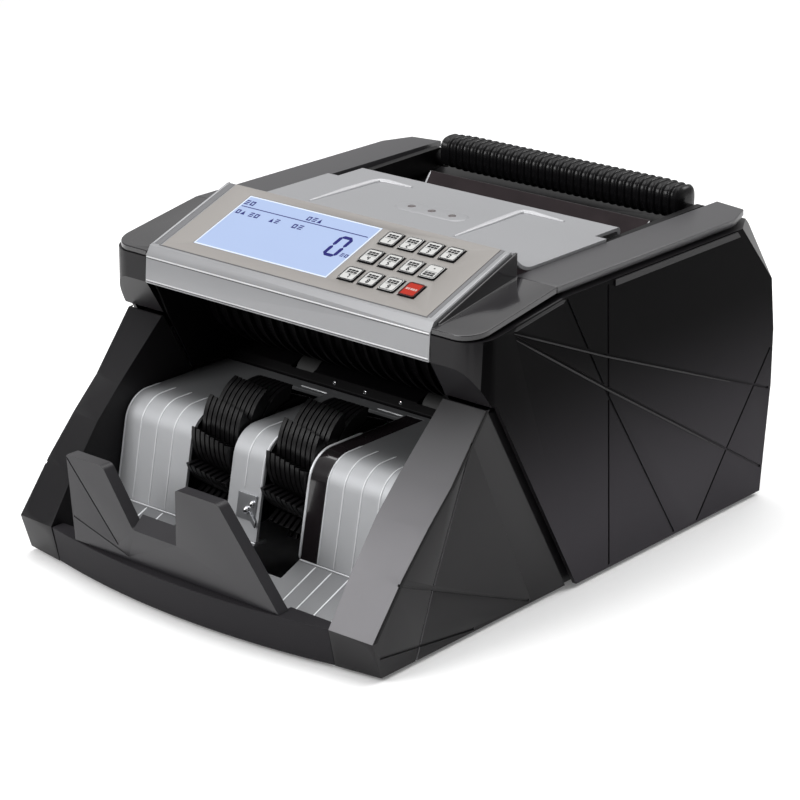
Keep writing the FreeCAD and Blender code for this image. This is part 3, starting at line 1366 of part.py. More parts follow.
def build():
    front_base()
    for name, side in SIDES:
        wing(name, side)
        side_shell(name, side)
    note_stopper()
    rear_cover()
    bottom_plate()
    feet()
    grouped("top_rails", [top_rail(name, side) for name, side in SIDES])
    grouped("gloss_pads", [gloss_pad(name, side) for name, side in SIDES])
    panel_bezel()
    keypad_overlay()
    lcd_window()
    display_board()
    keys()
    hopper_plate()
    hopper_sensors()
    note_rest()
    feed_ramp()
    handle_grip()
    grouped("handle_arms", [handle_arm(side) for name, side in SIDES])
    handle_pivots()
    grouped("inner_walls", [inner_wall(side) for name, side in SIDES])
    stacker_plate()
    sensor_strip()
    stacker_tray()
    stacker_sensor()
    impellers()
    shafts()
    drive_belts()
    bearings()
    grouped("side_frames", [side_frame(side) for name, side in SIDES])
    upper_guide()
    lower_guide()
    retard_pad()
    motor()
    transformer()
    main_board()
    power_inlet()
    switch_frame_and_rocker()
    feed_gap_knob()
    casing_screws()


def check_and_write():
    """Stop on any failed object, idle cut or invalid shape, then write one file per node."""
    doc.recompute()
    for thing in doc.Objects:
        if "Invalid" in thing.State or "Error" in thing.State:
            raise RuntimeError("%s (%s) failed: %s" % (thing.Name, thing.Label, thing.getStatusString()))
    for feature in cuts:
        before = feature.BaseFeature.Shape.Volume
        if feature.Shape.Volume > before - 0.01:
            raise RuntimeError("%s cuts nothing from %s" % (feature.Name, feature.BaseFeature.Name))
    os.makedirs("parts", exist_ok=True)
    for node in nodes:
        shape = node.Shape
        if shape.isNull() or not shape.isValid():
            raise RuntimeError(node.Label + " has no valid shape")
        shape.exportStep("parts/%s.step" % node.Label)
    print(len(nodes), "nodes written")


build()
check_and_write()
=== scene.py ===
import json
import math

import bmesh
import bpy
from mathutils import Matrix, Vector


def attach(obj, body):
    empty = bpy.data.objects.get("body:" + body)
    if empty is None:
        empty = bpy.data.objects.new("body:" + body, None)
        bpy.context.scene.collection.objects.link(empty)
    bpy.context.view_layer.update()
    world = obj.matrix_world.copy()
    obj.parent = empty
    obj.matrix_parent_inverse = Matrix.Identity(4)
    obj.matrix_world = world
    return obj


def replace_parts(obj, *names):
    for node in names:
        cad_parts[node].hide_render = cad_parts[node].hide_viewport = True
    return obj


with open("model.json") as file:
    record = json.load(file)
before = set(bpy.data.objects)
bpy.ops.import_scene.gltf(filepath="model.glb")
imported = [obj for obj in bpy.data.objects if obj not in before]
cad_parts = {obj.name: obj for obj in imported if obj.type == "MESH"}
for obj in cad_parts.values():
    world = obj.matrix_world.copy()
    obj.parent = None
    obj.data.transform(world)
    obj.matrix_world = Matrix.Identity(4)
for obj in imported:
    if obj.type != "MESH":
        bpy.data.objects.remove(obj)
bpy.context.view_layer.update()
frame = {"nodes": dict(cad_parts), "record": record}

MM = 0.001
MIDDLE = 165.5        # depth of the footprint's middle behind the wings' front corner, mm
NODES = frame["nodes"]
BODY_OF = {node: body for body, group in frame["record"]["behaviour"]["bodies"].items() for node in group}
SLOT_OF = {part["node"]: part["material_slot"] for part in frame["record"]["subparts"]}
SLOPE = math.radians(19.75)
PANEL_Y, PANEL_Z = 78.5, 161.0


def at(x, y, z):
    """A point given in millimetres, with its depth from the wings' front corner."""
    return Vector((x * MM, (y - MIDDLE) * MM, z * MM))


def on_panel(x, up, out):
    """A point on the sloping panel: across, up the slope, and out from its surface."""
    return at(x, PANEL_Y + up * math.cos(SLOPE) - out * math.sin(SLOPE),
              PANEL_Z + up * math.sin(SLOPE) + out * math.cos(SLOPE))


# ---------------------------------------------------------------- materials

def node_of(tree, kind, place, **inputs):
    """A shader node with its inputs set by name, underscores standing for spaces."""
    node = tree.nodes.new(kind)
    node.location = place
    for name, value in inputs.items():
        node.inputs[name.replace("_", " ")].default_value = value
    return node


def map_range(tree, source, place, from_low, from_high, to_low, to_high):
    """A node that maps one range of values onto another."""
    node = node_of(tree, "ShaderNodeMapRange", place, From_Min=from_low, From_Max=from_high, To_Min=to_low,
                   To_Max=to_high)
    tree.links.new(source, node.inputs["Value"])
    return node


def paint_shade_along_axis(tree, coords, tint, shader, axis, start, end, share):
    """Paint shade into a surface's colour along one axis: scale it from a share at the start to full."""
    split = node_of(tree, "ShaderNodeSeparateXYZ", (-900, 450))
    tree.links.new(coords.outputs["Object"], split.inputs[0])
    ramp = map_range(tree, split.outputs[axis], (-700, 450), start * MM, end * MM, share, 1.0)
    ramp.interpolation_type = "SMOOTHSTEP"
    scaled = node_of(tree, "ShaderNodeVectorMath", (-150, 300))
    scaled.operation = "SCALE"
    tree.links.new(tint.outputs[2], scaled.inputs[0])
    tree.links.new(ramp.outputs["Result"], scaled.inputs["Scale"])
    tree.links.new(scaled.outputs[0], shader.inputs["Base Color"])


def finish_of(name, colour, rough, metal=0.0, mottle=0.08, rough_vary=0.06, grain_size=0.35, grain=0.15,
              grain_height=0.02, stretch=(1, 1, 1), coat=0.0, specular=0.5, cloud=30.0, painted_shade=None, **sockets):
    """A principled surface with grain, slow colour variation and uneven gloss. Sizes in millimetres.

    A painted shade along one axis is given as (axis, from, to, share): towards its start the colour darkens
    to this share.
    """
    material = bpy.data.materials.new(name)
    material.use_nodes = True
    tree = material.node_tree
    shader = tree.nodes["Principled BSDF"]
    coords = node_of(tree, "ShaderNodeTexCoord", (-1100, 0))
    fine = node_of(tree, "ShaderNodeMapping", (-900, -250))
    fine.inputs["Scale"].default_value = [value / (grain_size * MM) for value in stretch]
    tree.links.new(coords.outputs["Object"], fine.inputs["Vector"])
    grains = node_of(tree, "ShaderNodeTexNoise", (-700, -250), Scale=1.0, Detail=3.0, Roughness=0.6)
    tree.links.new(fine.outputs["Vector"], grains.inputs["Vector"])
    clouds = node_of(tree, "ShaderNodeTexNoise", (-700, 150), Scale=1.0 / (cloud * MM), Detail=4.0)
    tree.links.new(coords.outputs["Object"], clouds.inputs["Vector"])
    tint = node_of(tree, "ShaderNodeMix", (-350, 200))
    tint.data_type = "RGBA"
    low, high = [tuple(min(1.0, channel * (1 + sign * mottle)) for channel in colour) + (1.0,)
                 for sign in (-1, 1)]
    tint.inputs[6].default_value, tint.inputs[7].default_value = low, high
    tree.links.new(clouds.outputs["Fac"], tint.inputs["Factor"])
    tree.links.new(tint.outputs[2], shader.inputs["Base Color"])
    # Painted shade: the colour darkens along one axis, when one is given.
    if painted_shade:
        paint_shade_along_axis(tree, coords, tint, shader, *painted_shade)
    gloss = node_of(tree, "ShaderNodeMapRange", (-350, -50))
    gloss.inputs["To Min"].default_value = max(0.02, rough - rough_vary)
    gloss.inputs["To Max"].default_value = rough + rough_vary
    blend = node_of(tree, "ShaderNodeMath", (-520, -50))
    blend.operation = "MULTIPLY_ADD"
    blend.inputs[1].default_value = 0.5
    tree.links.new(clouds.outputs["Fac"], blend.inputs[0])
    half = node_of(tree, "ShaderNodeMath", (-620, -120))
    half.operation = "MULTIPLY"
    half.inputs[1].default_value = 0.5
    tree.links.new(grains.outputs["Fac"], half.inputs[0])
    tree.links.new(half.outputs[0], blend.inputs[2])
    tree.links.new(blend.outputs[0], gloss.inputs["Value"])
    tree.links.new(gloss.outputs["Result"], shader.inputs["Roughness"])
    bump = node_of(tree, "ShaderNodeBump", (-350, -300), Strength=grain, Distance=grain_height * MM)
    tree.links.new(grains.outputs["Fac"], bump.inputs["Height"])
    tree.links.new(bump.outputs["Normal"], shader.inputs["Normal"])
    shader.inputs["Metallic"].default_value = metal
    shader.inputs["Coat Weight"].default_value = coat
    shader.inputs["Specular IOR Level"].default_value = specular
    for socket, value in sockets.items():
        shader.inputs[socket.replace("_", " ")].default_value = value
    return material


SHELL = finish_of("shell_plastic", (0.0085, 0.0078, 0.0088), 0.34, grain_size=0.3, grain=0.25, cloud=60,
                  specular=0.2)
# Outer side walls: the shell's black lightened into a grey that is a painted reflection of the floor,
# darkened towards the top as painted shade.
CHEEK = finish_of("side_wall_painted_floor_reflection", (0.045, 0.042, 0.047), 0.36, grain_size=0.3, grain=0.25, cloud=60,
                  specular=0.015, painted_shade=("Z", 130.0, 20.0, 0.05))
RAIL = finish_of("rail_plastic", (0.026, 0.025, 0.028), 0.40, grain_size=0.25, grain=0.3, specular=0.8)
# Grey of the wing fronts, darkened towards the top as painted shade; only the right side, which faces the
# light, takes it.
SATIN = finish_of("satin_grey_painted_shade", (0.175, 0.171, 0.180), 0.50, grain_size=0.25, grain=0.3,
                  specular=0.25, painted_shade=("Z", 128.0, 50.0, 0.12))
# A near-black copy of the wing fronts' grey: painted shade for the left side, which lies away from the light.
DIM = finish_of("wing_front_painted_shade", (0.010, 0.0095, 0.0105), 0.42, grain_size=0.25, grain=0.3, specular=0.15)
GLOSS = finish_of("gloss_black_plastic", (0.012, 0.011, 0.0125), 0.16, grain=0.03, coat=0.35, rough_vary=0.03)
STOPPER = finish_of("stopper_plastic", (0.020, 0.019, 0.0215), 0.34, grain_size=0.3, grain=0.2, cloud=40,
                    specular=0.42)
BASE = finish_of("front_wall_plastic", (0.015, 0.014, 0.016), 0.58, grain_size=0.3, grain=0.2, cloud=50,
                 specular=0.12)
BLACK = finish_of("fine_black_plastic", (0.0030, 0.0027, 0.0031), 0.40, grain=0.3, specular=0.12)
SILVER = finish_of("silver_painted_plastic", (0.275, 0.277, 0.285), 0.40, metal=0.45, grain_size=0.18,
                   grain=0.25, mottle=0.03, cloud=50)
# A paler copy of the plate's silver for raised ridges and edges: painted highlights.
RIDGE_HIGHLIGHT = finish_of("embossed_silver_painted_highlight", (0.42, 0.422, 0.435), 0.36, metal=0.25, grain_size=0.2, grain=0.15,
                   mottle=0.02)
# Pale silver for the raised lines on the bezel's front: painted highlights.
FRONT_HIGHLIGHT = finish_of("painted_highlight_silver", (0.62, 0.62, 0.63), 0.3, metal=0.4, mottle=0.02, grain=0.1)
# Dark silver for bands along steps and under raised lines: painted shadow.
SHADOW = finish_of("painted_shadow_silver", (0.075, 0.075, 0.08), 0.5, metal=0.2, mottle=0.04, grain=0.1)
# A darker copy of the silver for the bezel's outward slopes: painted shade.
SLANT = finish_of("slanted_border_painted_shade", (0.14, 0.14, 0.146), 0.45, metal=0.4, mottle=0.04, grain=0.1)
PLATE = finish_of("pale_silver_plate", (0.262, 0.264, 0.274), 0.42, metal=0.25, grain_size=0.2, grain=0.2,
                  mottle=0.03, cloud=70)
OVERLAY = finish_of("overlay_film", (0.218, 0.205, 0.193), 0.45, grain_size=0.25, grain=0.3, mottle=0.03)
DISPLAY = finish_of("display_glass", (0.21, 0.265, 0.39), 0.2, grain=0.0, mottle=0.02, specular=0.3,
                    Emission_Color=(0.50, 0.62, 0.95, 1.0), Emission_Strength=0.24)
DISPLAY_EDGE = finish_of("display_edge", (0.45, 0.50, 0.60), 0.2, grain=0.0, mottle=0.02,
                         Emission_Color=(0.75, 0.82, 0.95, 1.0), Emission_Strength=0.25)
SEGMENT = finish_of("display_segment", (0.008, 0.008, 0.11), 0.5, grain=0.0, specular=0.1)
KEY_WHITE = finish_of("white_key", (0.43, 0.43, 0.42), 0.4, grain_size=0.2, grain=0.15, mottle=0.02)
KEY_RED = finish_of("red_key", (0.32, 0.016, 0.006), 0.5, grain_size=0.2, grain=0.15, mottle=0.03,
                    specular=0.1)
PRINT = finish_of("printed_ink", (0.006, 0.006, 0.007), 0.6, grain=0.05, specular=0.15)
PRINT_GREY = finish_of("printed_grey", (0.16, 0.16, 0.16), 0.5, grain=0.05)
PRINT_WHITE = finish_of("printed_white", (0.42, 0.27, 0.25), 0.5, grain=0.05)
RUBBER = finish_of("grip_rubber", (0.0040, 0.0038, 0.0043), 0.27, grain_size=0.5, grain=0.25, cloud=20,
                   specular=0.20)
VANE = finish_of("vane_rubber", (0.0036, 0.0033, 0.0037), 0.32, grain_size=0.4, grain=0.15, cloud=12,
                 specular=0.3)
ROLLER = finish_of("roller_rubber", (0.014, 0.014, 0.014), 0.6, grain_size=0.4, grain=0.4, cloud=15)
# Brushed silver of the stacker plate, darkened towards the back of its deck as painted shade under the head.
BRUSHED = finish_of("brushed_silver", (0.43, 0.437, 0.451), 0.50, metal=0.36, mottle=0.05, rough_vary=0.06,
                    grain_size=0.22, grain=0.35, grain_height=0.01, stretch=(1.0, 0.012, 0.012), cloud=25,
                    specular=0.15, painted_shade=("Y", -80.0, -110.0, 0.30))
# A darker copy of the brushed silver for the upward-facing tray: painted shade.
TRAY = finish_of("brushed_silver_tray_painted_shade", (0.21, 0.213, 0.22), 0.50, metal=0.6, mottle=0.05, rough_vary=0.06,
                 grain_size=0.22, grain=0.35, grain_height=0.01, stretch=(1.0, 0.012, 0.012), cloud=25,
                 specular=0.3)
# A paler copy of the brushed silver for raised lines and edges: painted highlights.
LINE_HIGHLIGHT = finish_of("raised_line_painted_highlight", (0.64, 0.65, 0.67), 0.34, metal=0.2, mottle=0.02, grain=0.1)
STEEL = finish_of("bright_steel", (0.62, 0.62, 0.64), 0.18, metal=1.0, grain_size=0.3, grain=0.1)
ZINC = finish_of("zinc_sheet", (0.48, 0.49, 0.51), 0.36, metal=1.0, mottle=0.15, cloud=9, grain=0.15)
DARK_STEEL = finish_of("motor_paint", (0.05, 0.05, 0.055), 0.35, metal=0.6, grain=0.2)
CORE = finish_of("laminated_core", (0.10, 0.10, 0.11), 0.5, metal=0.7, grain_size=0.5,
                 stretch=(0.02, 0.02, 1), grain=0.8)
BOARD = finish_of("circuit_board_mask", (0.012, 0.11, 0.04), 0.3, mottle=0.25, cloud=4, grain=0.3)
BRASS = finish_of("sintered_bearing", (0.55, 0.40, 0.16), 0.4, metal=1.0, grain=0.5)
SMOKED = finish_of("smoked_acrylic", (0.020, 0.0145, 0.016), 0.14, grain=0.0, mottle=0.4, cloud=14,
                   specular=0.4)
STRIP = finish_of("sensor_strip_gloss", (0.010, 0.008, 0.009), 0.13, grain=0.0, mottle=0.2, cloud=6,
                  coat=0.5)
LENS = finish_of("sensor_lens", (0.035, 0.02, 0.022), 0.1, grain=0.0, coat=0.5)

SLOT_FINISH = {
    "shell": SHELL, "rail": RAIL, "gloss_black": GLOSS, "black_plastic": BLACK, "silver_plastic": SILVER,
    "overlay": OVERLAY, "display": DISPLAY, "key_white": KEY_WHITE, "key_red": KEY_RED, "rubber": ROLLER,
    "vane_rubber": VANE, "belt_rubber": ROLLER, "smoked_acrylic": SMOKED, "clear_lens": LENS,
    "brushed_silver": BRUSHED, "steel": STEEL, "steel_plate": ZINC, "motor_steel": DARK_STEEL,
    "core_iron": CORE, "circuit_board": BOARD, "brass": BRASS}
for node, thing in NODES.items():
    thing.data.materials.clear()
    thing.data.materials.append(SLOT_FINISH[SLOT_OF[node]])


# ---------------------------------------------------------------- pieces

def add_piece(name, mesh, body, finishes):
    """Link a mesh as a piece that rides on a body and takes these finishes."""
    mesh.materials.clear()
    for finish in finishes:
        mesh.materials.append(finish)
    piece = bpy.data.objects.new(name, mesh)
    bpy.context.scene.collection.objects.link(piece)
    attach(piece, body)
    return piece


def soften(piece, width, segments=2, angle=30.0):
    """Round a piece's edges by a bevel of this many millimetres."""
    bevel = piece.modifiers.new("Edges", "BEVEL")
    bevel.width = width * MM
    bevel.segments = segments
    bevel.limit_method = "ANGLE"
    bevel.angle_limit = math.radians(angle)
    bevel.use_clamp_overlap = True
    bevel.harden_normals = True
    bevel.miter_outer = "MITER_ARC"
    return piece


def shade(mesh, angle=32.0):
    """Smooth shading, split at edges sharper than the angle."""
    for face in mesh.polygons:
        face.use_smooth = True
    mesh.set_sharp_from_angle(angle=math.radians(angle))


def skin(node, width=0.4, segments=2, angle=30.0, finishes=None, choose=None, merge=True):
    """A CAD node's own shape with rounded edges, standing for the node.

    Merging joins a flat face's triangles before the rounding. It stays off where it leaves stray faces,
    as it does on flat faces with many openings.
    """
    work = bmesh.new()
    work.from_mesh(NODES[node].data)
    bmesh.ops.remove_doubles(work, verts=work.verts, dist=2e-6)
    if merge:
        bmesh.ops.dissolve_limit(work, angle_limit=math.radians(0.4), verts=work.verts, edges=work.edges)
    mesh = bpy.data.meshes.new(node + "_skin")
    work.to_mesh(mesh)
    work.free()
    shade(mesh)
    piece = add_piece(node + "_skin", mesh, BODY_OF[node],
                      finishes or [SLOT_FINISH[SLOT_OF[node]]])
    if choose:
        for face in mesh.polygons:
            face.material_index = choose(face)
    soften(piece, width, segments, angle)
    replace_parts(piece, node)
    return piece


def mesh_of(name, build):
    """A mesh made by a function that fills a bmesh."""
    work = bmesh.new()
    build(work)
    bmesh.ops.recalc_face_normals(work, faces=work.faces)
    mesh = bpy.data.meshes.new(name)
    work.to_mesh(mesh)
    work.free()
    return mesh


def detail(name, build, node, finish, round_by=0.0, smooth=True):
    """A piece that belongs to a node: it rides on the node's body and takes the given finish."""
    mesh = mesh_of(name, build)
    if smooth:
        shade(mesh)
    piece = add_piece(name, mesh, BODY_OF[node], [finish])
    if round_by:
        soften(piece, round_by)
    return piece


def prism(work, front, back):
    """A closed prism between two rings of the same number of points."""
    lower = [work.verts.new(point) for point in front]
    upper = [work.verts.new(point) for point in back]
    count = len(lower)
    work.faces.new(lower[::-1])
    work.faces.new(upper)
    for index in range(count):
        after = (index + 1) % count
        work.faces.new((lower[index], lower[after], upper[after], upper[index]))


def panel_plate(work, points, low, high):
    """A flat shape on the sloping panel, given as (x, up) points, between two heights."""
    prism(work, [on_panel(x, up, low) for x, up in points], [on_panel(x, up, high) for x, up in points])


def panel_box(work, x, up, width, height, low, high):
    """A rectangle on the sloping panel, its lower left corner at (x, up), between two heights."""
    panel_plate(work, [(x, up), (x + width, up), (x + width, up + height), (x, up + height)], low, high)


def side_plate(work, points, x_low, x_high):
    """A flat shape seen from the side, given as (y, z) points, between two widths."""
    prism(work, [at(x_low, y, z) for y, z in points], [at(x_high, y, z) for y, z in points])


def close_rings(work, rings):
    """Skin a row of closed rings and cap both ends."""
    count = len(rings[0])
    for ring, after in zip(rings, rings[1:]):
        for index in range(count):
            beside = (index + 1) % count
            work.faces.new((ring[index], ring[beside], after[beside], after[index]))
    work.faces.new(rings[0][::-1])
    work.faces.new(rings[-1])


def ridge(work, spine, half, height, steps=6, sunk=0.25, ends=0.35):
    """A half-round raised line along a spine of (point, normal) pairs, lower at its two ends."""
    rings = []
    for index, (point, normal) in enumerate(spine):
        before, after = spine[max(index - 1, 0)][0], spine[min(index + 1, len(spine) - 1)][0]
        across = (after - before).cross(normal).normalized()
        share = ends if index in (0, len(spine) - 1) else 1.0
        ring = []
        for step in range(steps + 1):
            turn = math.pi * step / steps
            ring.append(work.verts.new(point + across * (half * share * math.cos(turn) * MM)
                                       + normal * (height * share * math.sin(turn) * MM)))
        for sign in (-1, 1):
            ring.append(work.verts.new(point + across * (sign * half * share * MM) - normal * (sunk * MM)))
        rings.append(ring)
    close_rings(work, rings)


def lathe(work, centre, axis, profile, segments=32, shape=None):
    """Rings around an axis from a profile of (distance along the axis, radius) in millimetres."""
    axis = Vector(axis).normalized()
    first = axis.orthogonal().normalized()
    second = axis.cross(first)
    rings = []
    for along, radius in profile:
        ring = []
        for index in range(segments):
            turn = math.tau * index / segments
            size = radius * (shape(turn, along) if shape else 1.0)
            spoke = first * math.cos(turn) + second * math.sin(turn)
            ring.append(work.verts.new(centre + axis * (along * MM) + spoke * (size * MM)))
        rings.append(ring)
    close_rings(work, rings)


def screw_head(work, centre, axis, radius):
    """A domed screw head with a round socket."""
    height = radius * 0.45
    dome = ((-0.6, 1.0), (0.0, 1.0), (0.35, 0.97), (0.7, 0.86), (0.92, 0.68), (1.0, 0.50), (0.97, 0.46),
            (0.4, 0.42))
    lathe(work, centre, axis, [(height * rise, radius * width) for rise, width in dome], 24)


# ---------------------------------------------------------------- casing

def front_or_side(face):
    """The wings' sloping fronts have a finish of their own, grey on the right and a painted-shade near-black
    copy on the left; the rest is black.
    """
    return 1 if face.normal.y < -0.2 and face.normal.z > 0.1 else 0


def outward(face):
    """The flat outer sides take the copy with the painted floor reflection, darkened towards the top as
    painted shade; the turned fronts don't.
    """
    return 1 if abs(face.normal.x) > 0.85 else 0


# Each side's wing-front finish: the left one is painted shade, the right one grey with painted shade towards
# the top.
SIDES = (("left", -1, DIM), ("right", 1, SATIN))
WING_EDGE = ((1.9, 22.5), (24.0, 50.0), (43.5, 70.5), (60.5, 86.5), (86.6, 118.8))
for side, sign, front in SIDES:
    skin("wing_" + side, 0.6, 3, finishes=[SHELL, front], choose=front_or_side, merge=False)
    skin("side_shell_" + side, 0.9, 3, finishes=[SHELL, CHEEK], choose=outward)
    band = [(y + 1.3, z) for y, z in WING_EDGE] + [(y + 3.4, z) for y, z in WING_EDGE[::-1]]
    # A thin black sheet along each wing's side beside its sloping front: a painted shadow line.
    detail("wing_shadow_line_" + side,
           lambda work: side_plate(work, band, sign * 125.0, sign * 125.3), "wing_" + side, BLACK)
skin("front_base", 0.6, 3, finishes=[BASE])
skin("note_stopper", 0.9, 3, finishes=[STOPPER])
skin("rear_cover", 0.4, merge=False)
skin("top_rails", 0.5, 3, merge=False)
skin("gloss_pads", 0.5, 3)
skin("panel_bezel", 0.5, 3, merge=False)
skin("hopper_plate", 0.4, finishes=[PLATE])
skin("sensor_strip", 0.2, finishes=[STRIP])
skin("stacker_plate", 0.3)
skin("stacker_tray", 0.3, finishes=[TRAY])
skin("handle_arms", 0.4)
skin("feet", 0.4)
skin("keypad_overlay", 0.15, merge=False)
skin("impellers", 0.25, 2, 40.0)
for node in sorted(NODES):
    if node.startswith("key_"):
        skin(node, 0.35, 3)
skin("feed_ramp", 0.3, merge=False)
for node in ("note_rest", "inner_walls", "upper_guide", "lower_guide", "side_frames", "bottom_plate",
             "retard_pad", "motor", "transformer", "main_board", "power_inlet", "switch_housing",
             "switch_rocker", "display_board", "hopper_sensors", "handle_pivots"):
    skin(node, 0.3)
for node in ("impeller_shaft", "feed_roller_shaft", "pickup_roller_shaft", "transport_roller_shaft",
             "pinch_rollers", "motor_pulley", "drive_belts", "bearings"):
    skin(node, 0.25, 2, 45.0)


# ---------------------------------------------------------------- display and printing

STROKES = {"a": ((0, 2), (1, 2)), "b": ((1, 1), (1, 2)), "c": ((1, 0), (1, 1)), "d": ((0, 0), (1, 0)),
           "e": ((0, 0), (0, 1)), "f": ((0, 1), (0, 2)), "g": ((0, 1), (1, 1))}
DIGITS = {"0": "abcdef", "1": "bc", "2": "abged", "3": "abgcd", "4": "fgbc", "5": "afgcd", "6": "afgedc",
          "7": "abc", "8": "abcdefg", "9": "abcdfg", "-": "g"}


def digit(work, character, x, up, width, height, stroke, low, high):
    """A seven-segment figure with pointed strokes, its lower left corner at (x, up)."""
    half, gap = stroke / 2, stroke * 0.03
    for name in DIGITS[character]:
        (x_from, up_from), (x_to, up_to) = STROKES[name]
        start = Vector((x + half + x_from * (width - stroke), up + half + up_from * (height - stroke) / 2))
        end = Vector((x + half + x_to * (width - stroke), up + half + up_to * (height - stroke) / 2))
        run = (end - start).normalized()
        across = Vector((-run.y, run.x)) * half
        start += run * gap
        end -= run * gap
        tips = [start, start + run * half + across, end - run * half + across, end,
                end - run * half - across, start + run * half - across]
        panel_plate(work, [tuple(tip) for tip in tips], low, high)


def mark(work, kind, x, up, size, low, high):
    """A small plain sign: a square outline, a triangle or three bars."""
    line = size * 0.22
    if kind == 0:
        panel_box(work, x, up, size * 0.8, line, low, high)
        panel_box(work, x, up + size - line, size * 0.8, line, low, high)
        panel_box(work, x, up + line, line, size - line * 2, low, high)
        panel_box(work, x + size * 0.8 - line, up + line, line, size - line * 2, low, high)
    elif kind == 1:
        panel_plate(work, [(x, up), (x + size * 0.8, up), (x + size * 0.4, up + size)], low, high)
    else:
        for step in range(3):
            panel_box(work, x, up + step * size * 0.415, size * 0.8, line, low, high)


PANE_TOP = -0.1
LCD_LEFT, LCD_RIGHT, LCD_LOW, LCD_HIGH = -75.8, 18.3, 10.7, 57.8


def display_print(work):
    """The display's line, its large 0 and its rows of plain signs."""
    low, high = PANE_TOP - 0.05, PANE_TOP + 0.05
    panel_box(work, LCD_LEFT + 1.6, 48.0, 90.0, 0.6, low, high)
    digit(work, "0", 0.9, 26.8, 9.4, 18.2, 2.3, low, high)
    signs = ((-74.6, 50.2, 3.6, (2, 0)), (-29.0, 49.7, 3.4, (0, 2, 1)), (-73.4, 41.6, 3.4, (0, 1)),
             (-63.8, 41.3, 3.5, (2, 0)), (-48.6, 41.2, 3.3, (1, 2)), (-32.2, 41.0, 3.6, (0, 2)),
             (12.0, 29.0, 2.6, (2, 0)))
    for x, up, size, kinds in signs:
        for place, kind in enumerate(kinds):
            mark(work, kind, x + place * size * 1.12, up, size, low, high)


def display_border(work):
    """The paler rim of the display, as four strips."""
    low, high, wide = PANE_TOP - 0.05, PANE_TOP + 0.04, 0.8
    panel_box(work, LCD_LEFT, LCD_LOW, LCD_RIGHT - LCD_LEFT, wide, low, high)
    panel_box(work, LCD_LEFT, LCD_HIGH - wide, LCD_RIGHT - LCD_LEFT, wide, low, high)
    for x in (LCD_LEFT, LCD_RIGHT - wide):
        panel_box(work, x, LCD_LOW + wide, wide, LCD_HIGH - LCD_LOW - wide * 2, low, high)


skin("lcd_window", 0.15)
detail("lcd_figures", display_print, "lcd_window", SEGMENT, smooth=False)
detail("lcd_border", display_border, "lcd_window", DISPLAY_EDGE, smooth=False)

KEY_X, KEY_UP = 29.9, 50.8
KEY_STEP_X, KEY_STEP_UP = 13.5, 16.6
KEY_WIDE, KEY_HIGH, KEY_TOP = 10.4, 11.0, 0.9
FIGURES = ("1", "2", "3", "0", "4", "5", "6", "-", "7", "8", "9", None)


def rounded(x, up, half_x, half_up, corner):
    """The corner points of a rounded rectangle, going round from the right."""
    points = []
    for index, (sign_x, sign_up) in enumerate(((1, 1), (-1, 1), (-1, -1), (1, -1))):
        for step in range(5):
            turn = math.pi / 2 * (index + step / 4)
            points.append((x + sign_x * (half_x - corner) + corner * math.cos(turn),
                           up + sign_up * (half_up - corner) + corner * math.sin(turn)))
    return points


def key_outline(work, x, up):
    """A dark collar round the key's edge."""
    outer = rounded(x, up, KEY_WIDE / 2 + 0.06, KEY_HIGH / 2 + 0.06, 1.65)
    inner = rounded(x, up, KEY_WIDE / 2 - 0.85, KEY_HIGH / 2 - 0.85, 1.1)
    count = len(outer)
    rings = ((outer, -0.3), (outer, KEY_TOP - 0.05), (inner, KEY_TOP + 0.05), (inner, 0.3))
    levels = [[work.verts.new(on_panel(px, pu, out)) for px, pu in ring] for ring, out in rings]
    for ring, after in zip(levels, levels[1:] + levels[:1]):
        for index in range(count):
            beside = (index + 1) % count
            work.faces.new((ring[index], ring[beside], after[beside], after[index]))


def key_print(work, x, up, figure):
    """Two rows of plain dashes, and the figure under them; the minus stands over its dashes."""
    low, high, space = KEY_TOP - 0.1, KEY_TOP + 0.05, 0.3
    if figure == "-":
        rows = ((-3.8, (2.2, 1.7, 2.2)), (-2.2, (1.9, 2.1, 1.9)))
    else:
        rows = ((0.4, (2.0, 1.7, 2.1)), (2.0, (1.8, 2.2, 1.8)))
    for rise, dashes in rows:
        reach = -sum(dashes) / 2 - space
        for wide in dashes:
            panel_box(work, x + reach, up + rise, wide, 1.25, low, high)
            reach += wide + space
    if figure == "-":
        digit(work, figure, x - 1.1, up + 0.7, 2.2, 3.4, 0.8, low, high)
    else:
        digit(work, figure, x - 1.0, up - 4.1, 2.0, 3.5, 0.75, low, high)


def start_dashes(work, x, up):
    """The start key's row of tall dashes."""
    for place, wide in enumerate((1.2, 0.9, 1.3, 1.1, 1.0)):
        panel_box(work, x - 3.6 + place * 1.5, up - 0.7, wide, 1.5, 0.8, 0.95)


for index, figure in enumerate(FIGURES):
    row, column = divmod(index, 4)
    x, up = KEY_X + KEY_STEP_X * column, KEY_UP - KEY_STEP_UP * row
    node = "key_%d" % (index + 1) if figure else "key_start"
    detail(node + "_outline", lambda work: key_outline(work, x, up), node, PRINT, smooth=False)
    if figure:
        detail(node + "_print", lambda work: key_print(work, x, up, figure), node, PRINT, smooth=False)
        detail(node + "_line", lambda work: panel_box(work, x - 3.6, up - 0.45, 7.2, 0.4, 0.8, 0.94), node,
               PRINT_GREY, smooth=False)
    else:
        detail("key_start_print", lambda work: start_dashes(work, x, up), node, PRINT_WHITE, smooth=False)


# ---------------------------------------------------------------- bezel trim, painted shade and highlights

def bezel_steps(work):
    """A fine dark band round the overlay: painted shadow along its step."""
    panel_box(work, -93.4, 1.5, 186.8, 0.7, -0.3, 0.04)
    for x in (-93.4, 92.6):
        panel_box(work, x, 2.2, 0.8, 61.4, -0.3, 0.04)


